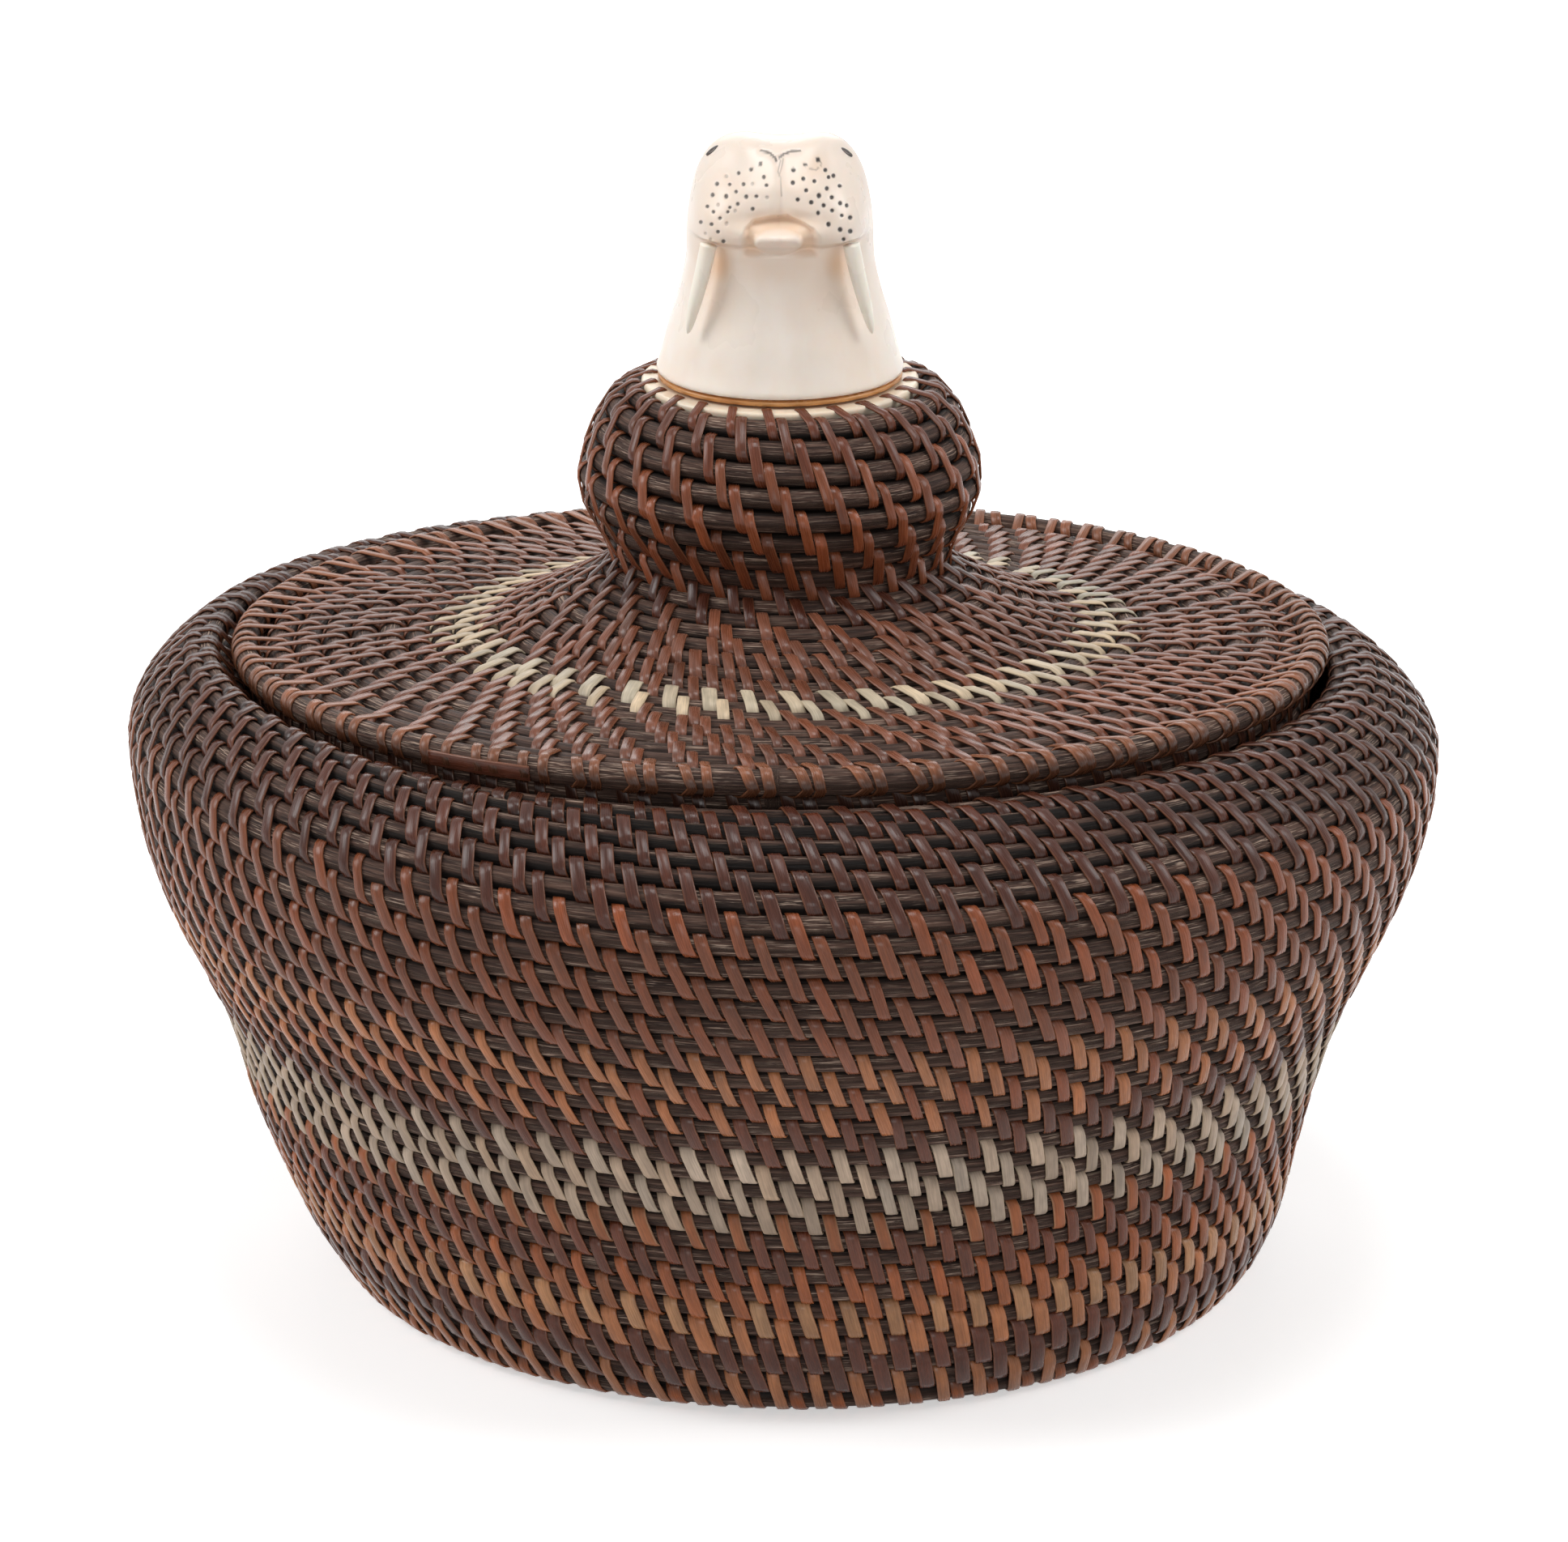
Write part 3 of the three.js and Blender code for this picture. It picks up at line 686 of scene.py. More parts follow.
def rod_material():
    """Dyed cane: dark, ridged along its length, with pale worn fibres in patches and a painted shade, near
    black, on the sides that face the next rods.
    """
    nodes = new_material("dyed_rods")
    grain = nodes.mark("grain", "Vector")
    ridge = nodes.noise(grain, (0.1, 2.6, 1), roughness=0.7)
    fibre = nodes.noise(grain, (0.3, 7, 1), roughness=0.65)
    patch = nodes.noise(grain, (0.05, 0.3, 1))
    colour = nodes.mixed(nodes.ranged(ridge, 0.36, 0.66), ROD_DARK, ROD_BROWN)
    colour = nodes.mixed(nodes.ranged(fibre, 0.35, 0.6, 0.4, 0), colour, ROD_DARK)
    worn = nodes.math("MULTIPLY", nodes.ranged(fibre, 0.52, 0.64), nodes.ranged(patch, 0.42, 0.6, 0.15, 0.95))
    colour = nodes.mixed(worn, colour, ROD_PALE)
    # Painted shade: near black where the rod faces its neighbours
    colour = nodes.mixed(nodes.ranged(nodes.mark("neighbour_shade"), 0.5, 0.94, 0, 0.95), colour, PAINTED_GROOVE_SHADE)
    height = nodes.math("ADD", ridge, nodes.math("MULTIPLY", fibre, 0.5))
    roughness = nodes.spread(fibre, 0.42, 0.68)
    return nodes.finish(colour, roughness, height, 0.9, 0.00022, {"Specular IOR Level": 0.1})


def strip_material(name, edge_light, least_rough):
    """Split cane: smooth, a little glossy, with faint fibres and paler cut edges."""
    nodes = new_material(name)
    grain = nodes.mark("grain", "Vector")
    fibre = nodes.noise(grain, (0.25, 4, 1), roughness=0.6)
    blotch = nodes.noise(grain, (0.35, 0.6, 1), detail=2)
    shade = nodes.math("MULTIPLY", nodes.spread(fibre, 0.82, 1.14), nodes.spread(blotch, 0.86, 1.12))
    shaded = nodes.add("VectorMath", {0: nodes.mark("tone", "Color"), "Scale": shade}, operation="SCALE")[0]
    edge = nodes.ranged(nodes.math("ABSOLUTE", nodes.part(grain, 1)), 0.72, 0.98)
    colour = nodes.mixed(nodes.math("MULTIPLY", edge, 0.25), shaded, edge_light)
    roughness = nodes.spread(fibre, least_rough, least_rough + 0.12)
    return nodes.finish(colour, roughness, fibre, 0.5, 0.00006, {"Specular IOR Level": 0.27})


def ivory_material(name, base, marked=False):
    """Polished walrus ivory: warm white, faintly streaked; on the head with inked marks, stains mixed with
    painted shade in the face's hollows, and painted shade over its top.
    """
    nodes = new_material(name)
    place = nodes.place()
    streak = nodes.noise(place, (420, 420, 60), detail=4, roughness=0.6)
    cloud = nodes.noise(place, (150, 150, 110))
    colour = nodes.mixed(nodes.ranged(cloud, 0.42, 0.68, 0, 0.35), base, mix(base, STAIN_AND_SHADE, 0.35))
    colour = nodes.mixed(nodes.ranged(streak, 0.5, 0.75, 0, 0.18), colour, mix(base, np.ones(3), 0.5))
    if marked:
        # Painted shade: the head is darkened above a height
        top_shade = nodes.ranged(nodes.part(place, 2), *HEAD_TOP_SHADE_HEIGHTS, 0, HEAD_TOP_SHADE_AMOUNT)
        for share, other in ((top_shade, HEAD_TOP_SHADE), (nodes.mark("stain_and_shade"), STAIN_AND_SHADE), (nodes.mark("ink"), INK)):
            colour = nodes.mixed(share, colour, other)
    levels = {"Specular IOR Level": 0.4, "Subsurface Weight": 0.25, "Subsurface Radius": (1, 0.6, 0.4),
              "Subsurface Scale": 0.0012}
    return nodes.finish(colour, nodes.spread(cloud, 0.26, 0.38), streak, 0.1, 0.00005, levels)


def horn_material(name, base, dark):
    """Thin horn or resin, streaked."""
    nodes = new_material(name)
    streak = nodes.noise(nodes.place(), (260, 260, 900))
    colour = nodes.mixed(nodes.ranged(streak, 0.35, 0.7), base, dark)
    return nodes.finish(colour, nodes.spread(streak, 0.22, 0.36), streak, 0.2, 0.00004)


rod_finish = rod_material()
strip_finish = strip_material("strips", STRIP_EDGE, 0.2)
cream_finish = strip_material("cream_strips", CREAM_EDGE, 0.36)
head_finish = ivory_material("carved_ivory", IVORY, True)
disc_finish = ivory_material("ivory_discs", DISC_IVORY)
tusk_finish = ivory_material("tusk_ivory", TUSK_IVORY)
amber_finish = horn_material("amber_washer", AMBER, AMBER_DARK)
eye_finish = horn_material("eyes", EYE, EYE_DARK)

# The stitches' colours and sizes

# For each row that starts a colour: the row, counted from the mouth or the knob's disc, and the colour
# Row 0, under the lid's rim, takes the shoulder's dark as painted shade
WALL_TONES = [(0, SHOULDER_DARK_AND_SHADE), (7, RUSSET), (13, DUSKY), (14, TAN), (16, RUSSET), (17, TAN), (18, DARK),
              (20, CREAM), (24, RUSSET_TAN), (25, DARK), (27, RUSSET_TAN), (29, PALE_TAN), (30, TAN),
              (31, VERY_DARK), (33, TAN), (34, RUSSET_TAN), (35, RUSSET)]
# Rows 8 and 9, the knob's neck, take the shoulder's dark as painted shade
LID_TONES = [(-1, DARK), (2, RUSSET), (8, SHOULDER_DARK_AND_SHADE), (10, LID_RUSSET), (16, LID_CREAM), (18, LID_RUSSET),
             (24, RIM_TAN)]
# Stitches in a row, their widths and their slants in millimetres, by the turns passed
WALL_COUNT = [(0, 77), (35, 77), (56, 16)]
WALL_WIDTH = [(0, 1.35), (19, 1.35), (20, 1.45), (24, 1.4), (28, 1.35), (29, 1.7), (32.9, 1.75), (33, 1.45)]
WALL_SLANT = [(0, 2.0), (5, 2.2), (7, 2.6), (12, 2.9), (14, 2.4), (20, 1.8), (24, 1.6), (30, 1.45), (60, 1.3)]
LID_COUNT = [(-1, 24), (2, 30), (10, 31), (12, 36), (14, 43), (16, 52), (18, 62), (19, 68), (25, 80)]
LID_WIDTH = [(-1, 1.1), (3, 1.2), (9, 1.25), (15.9, 1.25), (16, 1.7), (17, 1.4), (18, 1.2), (25, 1.25)]
LID_SLANT = [(-1, 1.8), (9, 1.75), (12, 2.4), (19, 2.3), (25, 2.2)]
# One strip's length makes about this many stitches
GROUP_STITCHES = 11
# How much the brightness and the warmth change from one strip's length to the next, and from stitch to stitch
TONE_CHANGES = [(0.11, 0.07), (0.05, 0.02)]
# How uneven a stitch's slant and width are, as shares, and how far it stands off the rods in millimetres
SLANT_CHANGE = 0.1
WIDTH_CHANGE = 0.06
STRIP_LIFT = 0.05
# A strip is painted darker, as painted shade, where it dives between the rods, from the first of these angles
# to the second, and all along its inner side
DIVE_SHADE = 0.3
DIVE_ANGLES = (-100, -50)


def stitch_tones(turns, table, rng):
    """One colour for each stitch: its row's, changed a little for each strip's length and each stitch."""
    rows, colours = (np.array(column) for column in zip(*table))
    base = colours[np.clip(np.searchsorted(rows, np.floor(turns), "right") - 1, 0, None)]
    group = np.cumsum(rng.random(len(turns)) < 1 / GROUP_STITCHES)
    value, warm = (rng.normal(0, by_group, group.max() + 1)[group] + rng.normal(0, by_stitch, len(turns))
                   for by_group, by_stitch in TONE_CHANGES)
    warmth = np.stack([1 + warm, np.ones_like(warm), 1 - warm], -1)
    return np.clip(base * (1 + value)[:, None] * warmth, 0, 1)


def read(table):
    """A function that reads a table of turns and sizes."""
    turns, sizes = np.array(table, float).T
    return lambda place: np.interp(place, turns, sizes)


class Sewing:
    """A coil's stitches: where they are in turns, their colours, their widths and how far each slants."""

    def __init__(self, coil, body, turns, tones, width, slant):
        self.coil, self.body, self.turns, self.tones = coil, body, turns, tones
        self.width, self.slant = read(width), read(slant)

    def build(self, name, node, slot, rng, start=-math.inf, end=math.inf, stations=WALL_STATIONS):
        """The strips of the rows from start up to end."""
        chosen = (self.turns >= start) & (self.turns < end)
        turns = self.turns[chosen]
        slants = self.slant(turns) * (1 + rng.normal(0, SLANT_CHANGE, len(turns)))
        widths = self.width(turns) * (1 + rng.normal(0, WIDTH_CHANGE, len(turns)))
        lift = np.abs(rng.normal(0, STRIP_LIFT, len(turns)))
        rods = self.coil.at(turns), self.coil.at(turns + 1)
        paths, normals, far = stitch_paths(*rods, phi_of(turns), slants, lift, stations)
        points, faces, grain = ribbons(paths, normals, far, widths)
        angles = np.array([degrees for _, degrees in stations])
        # Painted shade: the strip's colour is darkened where it dives between the rods and along its inner
        # side
        fade = mix(DIVE_SHADE, 1, smooth(-np.abs(angles), *DIVE_ANGLES) * (angles <= LAST_FRONT_ANGLE))
        tone = self.tones[chosen][:, None] * fade[None, :, None]
        tone = np.repeat(tone, len(STRIP_SECTION), 1).reshape(-1, 3)
        finish = cream_finish if "cream" in node else strip_finish
        make_piece(name, node, self.body, finish, settle(points, self.body), faces,
                   {"tone": tone, "grain": grain})


def sewn_coil(coil, body, start, end, count, width, slant, tones, seed):
    """A coil's stitches from one number of turns to another."""
    rng = np.random.default_rng([SEED, seed])
    turns = sew(coil, start, end, read(count), read(width), read(slant), rng)
    return Sewing(coil, body, turns, stitch_tones(turns, tones, rng), width, slant)


def build_runs(sewing, runs, seed):
    """For each run of rows its rod and its strips."""
    for number, (node, start, end, slot) in enumerate(runs):
        rng = np.random.default_rng([SEED, seed, number])
        build_rods(sewing.coil, sewing.body, node, max(start, 0), end, rng)
        sewing.build(f"{node}_strips", node, slot, rng, start, end)


# The basket's body

wall = wall_coil()
base_split = float(np.interp(-BASE_SPLIT_RADIUS, -wall.places[WALL_SAMPLES:, 0], wall.turns[WALL_SAMPLES:]))
# Each run's node, its first row, the row after its last, and the slot of its strips
WALL_RUNS = [("mouth_coil", 0, 1, "russet_coil"), ("shoulder_coil", 1, 7, "dark_coil"),
             ("belly_coil", 7, 14, "russet_coil"), ("upper_tan_coil", 14, 18, "tan_coil"),
             ("waist_dark_coil", 18, 20, "dark_coil"), ("cream_coil", 20, 25, "cream_coil"),
             ("lower_dark_coil", 25, 27, "dark_coil"), ("lower_russet_coil", 27, 29, "russet_coil"),
             ("wide_light_coil", 29, 31, "tan_coil"), ("wide_dark_coil", 31, 33, "dark_coil"),
             ("foot_coil", 33, 35, "tan_coil"), ("base_outer_coil", 35, base_split, "dark_coil"),
             ("base_inner_coil", base_split, wall.high, "russet_coil")]
wall_sewing = sewn_coil(wall, "basket", 0, wall.high - 1, WALL_COUNT, WALL_WIDTH, WALL_SLANT, WALL_TONES, 1)
build_runs(wall_sewing, WALL_RUNS, 2)

# The lid

LID_RUNS = [("knob_upper_coil", -1, 4, "dark_coil"), ("knob_lower_coil", 4, 8, "russet_coil"),
            ("knob_neck_coil", 8, 10, "russet_coil"), ("lid_inner_coil", 10, 16, "russet_coil"),
            ("lid_cream_coil", 16, 18, "cream_coil")]
OUTER_ROW = 18
RIM_ROW = LID_RODS - 1
RIM_STEPS = 260
WRAP_WIDTH = [(0, 1.25)]
WRAP_SLANT = [(0, 2.6)]
WRAP_PLACE = 0.45
WRAP_TONE_CHANGE = 0.06
SPLICE_STEPS = 24
SPLICE_LIFT = 0.05
SPLICE_TONE_CHANGE = 0.02
FLANGE_STEPS = 240
FLANGE_STITCHES = 66
FLANGE_STAGGER = 0.45
FLANGE_WIDTH = [(0, 1.35)]
FLANGE_SLANT = [(0, 1.8)]
# The flange lies under these last rows of the lid. Its rods are a little thicker than their share of its
# height, and the upper one stands a little higher. Their radius is found in a few steps from its first value
FLANGE_REACH = 5
FLANGE_SAMPLES = 200
FLANGE_FULLNESS = 0.08
FLANGE_OVERLAP = 0.2
FLANGE_ROD_START = 1.2
FLANGE_TRIES = 4

lid = lid_coil()
lid_sewing = sewn_coil(lid, "lid", -1, LID_RODS, LID_COUNT, LID_WIDTH, LID_SLANT, LID_TONES, 3)
build_runs(lid_sewing, LID_RUNS, 4)


def build_outer_lid():
    """The last rows of the lid, and the rim that their last stitches tie on, with a wrap between each two."""
    rng = np.random.default_rng([SEED, 5])
    build_rods(lid, "lid", "lid_outer_coil", OUTER_ROW, LID_RODS, rng)
    lid_sewing.build("lid_outer_coil_strips", "lid_outer_coil", "russet_coil", rng, OUTER_ROW, RIM_ROW)
    build_rings("lid_rim_rod", "lid_rim_coil", [(*RIM_MIDDLE, RIM_RADIUS)], RIM_STEPS, (0, 0), rng)
    lid_sewing.build("lid_rim_strips", "lid_rim_coil", "tan_coil", rng, RIM_ROW, stations=RIM_STATIONS)
    chosen = lid_sewing.turns >= RIM_ROW
    turns = lid_sewing.turns[chosen]
    ring = TURN * RIM_MIDDLE[0]
    gap = np.diff(np.append(turns, turns[0] + 1)) * ring
    between = turns + (lid_sewing.slant(turns) + gap) * WRAP_PLACE / ring
    tones = lid_sewing.tones[chosen] * rng.normal(1, WRAP_TONE_CHANGE, (len(turns), 1))
    wraps = Sewing(lid, "lid", between, tones, WRAP_WIDTH, WRAP_SLANT)
    wraps.build("lid_rim_wraps", "lid_rim_coil", "tan_coil", rng, stations=WRAP_STATIONS)


def build_splice():
    """The flattened end of the rim's rod, lapped over its beginning at the left in front."""
    rng = np.random.default_rng([SEED, 8])
    phi = np.radians(np.linspace(*SPLICE_ANGLES, SPLICE_STEPS))
    way = np.array([math.cos(SPLICE_TURN), math.sin(SPLICE_TURN)])
    r, z = RIM_MIDDLE + (RIM_RADIUS + SPLICE_LIFT) * way
    far = (r * (phi - phi[0]))[None]
    width, thickness = SPLICE_SIZE
    points, faces, grain = ribbons(round_place(r, z, phi)[None], round_place(*way, phi)[None], far,
                                   np.array([width]), thickness, False)
    tone = VERY_DARK * rng.normal(1, SPLICE_TONE_CHANGE, (len(points), 1))
    make_piece("lid_rim_splice", "lid_rim_coil", "lid", strip_finish, settle(points, "lid"),
               faces, {"tone": tone, "grain": grain})


class Rings:
    """Closed rods that lie on each other, read as a coil is: one ring for each full turn."""

    def __init__(self, rows):
        self.rows = np.array(rows, float)

    def at(self, turns):
        row = np.clip(np.floor(turns).astype(int), 0, len(self.rows) - 1)
        return tuple(self.rows[row].T)


def build_flange():
    """Two rings inside the mouth, the upper one sewn to the lid's own rod above it."""
    low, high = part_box("lid_flange_coil")
    r, z, rod = lid.at(np.linspace(LID_RODS - FLANGE_REACH, LID_RODS, FLANGE_SAMPLES)[:-1])
    radius = FLANGE_ROD_START
    for _ in range(FLANGE_TRIES):
        middle = high.x / MM - radius - STRIP_THICKNESS
        above, above_rod = np.interp(middle, r, z), np.interp(middle, r, rod)
        radius = (above - above_rod - low.z / MM - STRIP_THICKNESS) / 4 + FLANGE_FULLNESS
    rows = [(middle, above, above_rod), (middle, above - above_rod - radius + FLANGE_OVERLAP, radius),
            (middle, low.z / MM + radius + STRIP_THICKNESS, radius)]
    rng = np.random.default_rng([SEED, 6])
    build_rings("lid_flange_rods", "lid_flange_coil", rows[1:], FLANGE_STEPS, (0, 1), rng)
    places = np.arange(FLANGE_STITCHES)
    turns = np.concatenate([places / FLANGE_STITCHES, 1 + (places + FLANGE_STAGGER) / FLANGE_STITCHES])
    # The flange's strips take painted shade, near black, under the lid
    tones = stitch_tones(turns, [(0, FLANGE_SHADE)], rng)
    flange = Sewing(Rings(rows), "lid", turns, tones, FLANGE_WIDTH, FLANGE_SLANT)
    flange.build("lid_flange_strips", "lid_flange_coil", "russet_coil", rng)


build_outer_lid()
build_splice()
build_flange()

# Turned discs

BASE_DISC_HOLE = 0.4
PEG_TIP_GAP = 0.3


def build_turned(node, body, finish, profile, segments=160):
    """A ring or disc turned round +Z from a closed profile of radius and height."""
    profile = np.array(profile, float)
    phi = np.linspace(0, TURN, segments, endpoint=False)
    points = round_place(profile[None, :, 0], profile[None, :, 1], phi[:, None]).reshape(-1, 3)
    points = finial_place(points) if body == "lid" else settle(points, body)
    make_piece(f"{node}_turned", node, body, finish, points, tube_faces(segments, len(profile), True))


def rounded_ring(inner, outer, bottom, top, bevel):
    """The profile of a flat ring with softened edges."""
    return [(inner, bottom), (inner, top), (outer - 2 * bevel, top), (outer - bevel, top - 0.15 * bevel),
            (outer - 0.15 * bevel, top - bevel), (outer, top - 2 * bevel), (outer, bottom + bevel),
            (outer - bevel, bottom)]


def peg_profile(bevel=0.2, tip_bevel=0.3, core=0.02):
    """The peg that holds the finial, with its flat head under the knob's disc."""
    foot = -KNOB_DISC - PEG_HEAD_THICKNESS
    top = FINIAL_BOTTOM + PEG_DEPTH - PEG_TIP_GAP
    return [(core, foot), (core, top), (PEG_RADIUS - tip_bevel, top), (PEG_RADIUS, top - tip_bevel),
            (PEG_RADIUS, -KNOB_DISC), (PEG_HEAD_RADIUS - bevel, -KNOB_DISC),
            (PEG_HEAD_RADIUS, -KNOB_DISC - bevel), (PEG_HEAD_RADIUS, foot + bevel),
            (PEG_HEAD_RADIUS - bevel, foot)]


build_turned("base_starter_disc", "basket", disc_finish,
             rounded_ring(BASE_DISC_HOLE, BASE_DISC_RADIUS, BASE_DISC_LIFT,
                          BASE_DISC_LIFT + BASE_DISC_THICKNESS, bevel=0.2))
build_turned("knob_starter_disc", "lid", disc_finish,
             rounded_ring(PEG_BORE, DISC_EDGE_RADIUS, -KNOB_DISC, 0, bevel=0.22))
build_turned("finial_washer", "lid", amber_finish,
             rounded_ring(PEG_BORE, WASHER_RADIUS, WASHER_BOTTOM, WASHER_BOTTOM + WASHER_THICKNESS,
                          bevel=0.08))
build_turned("finial_peg", "lid", disc_finish, peg_profile(), 48)

# The carved head

HEAD_SHARES = [(0, 1), (0.07, 0.955), (0.21, 0.885), (0.35, 0.805), (0.48, 0.752), (0.63, 0.737),
               (0.77, 0.702), (0.88, 0.645), (0.95, 0.565), (0.985, 0.45), (0.998, 0.25), (1, 0)]
# Hills and hollows of the face, by height as a share of the head's and by angle from the front
PADS = {"height": 0.705, "rise": 0.15, "middle": 0.52, "spread": 0.5, "depth": 0.175}
LIP = {"height": 0.675, "rise": 0.055, "middle": 0, "spread": 0.27, "depth": 0.15}
MOUTH = {"height": 0.73, "rise": 0.035, "middle": 0, "spread": 0.36, "depth": -0.08}
# The fold under the pads starts and ends at these heights
PAD_FOLD = (0.595, 0.635)
BROW_FROM = 0.83
BROW_SPREAD = 0.9
BROW_DEPTH = 0.16

head_outline = spline(HEAD_SHARES)


def swell(angle, up, height, rise, middle, spread, depth):
    return depth * hill(np.abs(angle), middle, spread) * hill(up, height, rise)


def head_swell(angle, up):
    """How far the face stands off the head's round outline, as a share of its base radius."""
    brow = BROW_DEPTH * hill(angle, 0, BROW_SPREAD) * smooth(up, BROW_FROM, 1)
    pads = swell(angle, up, **PADS) * smooth(up, *PAD_FOLD)
    return pads + swell(angle, up, **LIP) + swell(angle, up, **MOUTH) - brow


def head_radius(angle, height):
    up = height / FINIAL_HEIGHT
    return FINIAL_BASE_RADIUS * (np.interp(up, *head_outline.T) + head_swell(angle, up))


# The face's marks, read on an enlargement of the photograph: this many times, from this corner
FACE_ZOOM = 4
FACE_LEFT = 780
FACE_TOP = 130
LEFT_PITS = [(635, 290), (588, 317), (527, 335), (652, 355), (420, 388), (483, 391), (551, 390), (665, 396),
             (398, 443), (466, 450), (515, 427), (565, 452), (615, 450), (372, 500), (402, 527), (484, 505),
             (523, 488), (474, 527), (597, 512), (340, 577), (393, 588), (435, 558), (425, 625), (452, 672)]
FAINT_PITS = [(467, 350), (595, 388), (668, 455), (425, 492), (510, 522), (468, 585), (363, 633), (388, 662)]
RIGHT_PITS = [(799, 320), (858, 294), (921, 270), (848, 363), (796, 383), (903, 375), (957, 320), (997, 348),
              (973, 355), (1028, 398), (964, 411), (862, 421), (925, 447), (988, 455), (820, 466), (887, 480),
              (948, 495), (1030, 484), (1063, 495), (990, 520), (921, 532), (1038, 545), (1080, 555),
              (972, 588), (1030, 614), (1080, 622), (1047, 662)]
NOSTRIL_LINES = [[(637, 224), (680, 236), (708, 262), (714, 280)],
                 [(728, 262), (750, 243), (790, 228), (833, 226)]]
CRACKS = [[(735, 275), (722, 330), (735, 360), (740, 450)], [(748, 268), (742, 300), (728, 352)],
          [(880, 315), (912, 320), (935, 300), (937, 285)]]
MOUTH_ARCH = [(535, 690), (540, 640), (555, 600), (600, 558), (680, 540), (770, 535), (850, 570), (905, 605),
              (930, 640), (925, 690)]
MUZZLE_FOLD = [(730, 290), (740, 520)]
FACE_MIDDLE = 722
LIP_MIDDLE = (FACE_MIDDLE, 680)
LIP_HALF = (128, 62)
# Stained places, some of them painted shade beside the tusks and under the chin: across, down, width, height
# and strength
STAINS_AND_SHADE = [(735, 580, 190, 50, 0.35), (445, 790, 60, 90, 0.5), (1000, 790, 60, 90, 0.5),
          (450, 920, 90, 200, 0.16), (960, 900, 110, 230, 0.18), (720, 800, 330, 90, 0.14),
          (915, 300, 60, 50, 0.2)]
PIT_RADIUS = 0.21
PIT_DEPTH = 0.12
LINE_RADIUS = 0.13
# The groups of pits: their ink and their size
PIT_GROUPS = [(LEFT_PITS, 0.9, 0.92), (FAINT_PITS, 0.35, 0.92), (RIGHT_PITS, 1, 1.08)]
# The groups of lines: their ink, where it starts to fade and over how far, and their depth and half width
LINE_GROUPS = [(NOSTRIL_LINES, 0.85, 1.5, 1, 0.22, 0.3), (CRACKS, 0.4, 1, 0.8, 0.06, 0.2),
               ([MUZZLE_FOLD], 0, 1, 1, 0.18, 0.6)]

# How a pit's size and height vary, as shares, and where its ink ends and how far it fades, in its radii
PIT_SIZES = (0.85, 1.15)
PIT_HEIGHTS = (0.85, 1.1)
PIT_INK = (1.35, 0.6)
# Where the mouth's hollow sets in below its arch, from the left, from the right and from below
MOUTH_EDGES = [26, (528, 570), (-940, -895), (-760, -700)]
MOUTH_DEPTH = 0.8
# Painted shade in the mouth's hollow
MOUTH_HOLLOW_SHADE = 0.42
# The lower lip: its edge and fade in its half sizes, its fold, its rise and its painted shade below the
# middle
LIP_EDGE = (1.12, 0.35)
LIP_FOLD = 0.35
LIP_RISE = 0.75
LIP_UNDERSIDE_SHADE = 0.18
LIP_SHADOW = (690, 735)
# The two low bumps of the crown: where across, how wide, how high, and from which share of the height
CROWN_BUMPS = (4.9, -4.5)
CROWN_BUMP_WIDTH = 2.7
CROWN_BUMP_RISE = 0.6
CROWN_FROM = 0.9
CROWN_LIFT = 0.06
CROWN_GAP = 0.25
# Inside this radius the face's hills flatten out
CROWN_RADIUS = 5.4
# The back slopes down from this share of the height and this far behind the front
BACK_FROM = 0.55
BACK_START = 2.5
BACK_SLOPE = 0.03
FOOT_BEVEL = 0.5
FOOT_INSET = 0.25

# The head's columns and rows: from where, to where and how many; the face has the most
FACE_HALF = math.radians(66)
COLUMN_STRETCHES = [(-FACE_HALF, FACE_HALF, 300), (FACE_HALF, TURN - FACE_HALF, 90)]
ROW_STRETCHES = [(0, 14, 40), (14, 25.5, 130)]
CROWN_ROWS = 46

camera_place = CAMERA_TARGET + CAMERA_DISTANCE * np.array(
    [0, -math.cos(CAMERA_ELEVATION), math.sin(CAMERA_ELEVATION)])
camera_ahead = unit(CAMERA_TARGET - camera_place)
camera_up = np.array([0, math.sin(CAMERA_ELEVATION), math.cos(CAMERA_ELEVATION)])


def face_pixels(points):
    """Where points fall on the enlargement of the face, and how many of its pixels a millimetre takes."""
    away = points - camera_place
    depth = away @ camera_ahead
    scale = CAMERA_FOCAL_PX / depth
    across = PHOTO_WIDTH / 2 + away[..., 0] * scale
    down = PHOTO_HEIGHT / 2 - (away @ camera_up) * scale
    return (across - FACE_LEFT) * FACE_ZOOM, (down - FACE_TOP) * FACE_ZOOM, scale * FACE_ZOOM


def line_distance(u, v, line):
    """Distance in pixels from each point to a line of straight stretches."""
    best = np.full(u.shape, 1e9)
    for (ax, ay), (bx, by) in zip(line, line[1:]):
        dx, dy = bx - ax, by - ay
        share = np.clip(((u - ax) * dx + (v - ay) * dy) / (dx * dx + dy * dy), 0, 1)
        best = np.minimum(best, np.hypot(u - ax - share * dx, v - ay - share * dy))
    return best


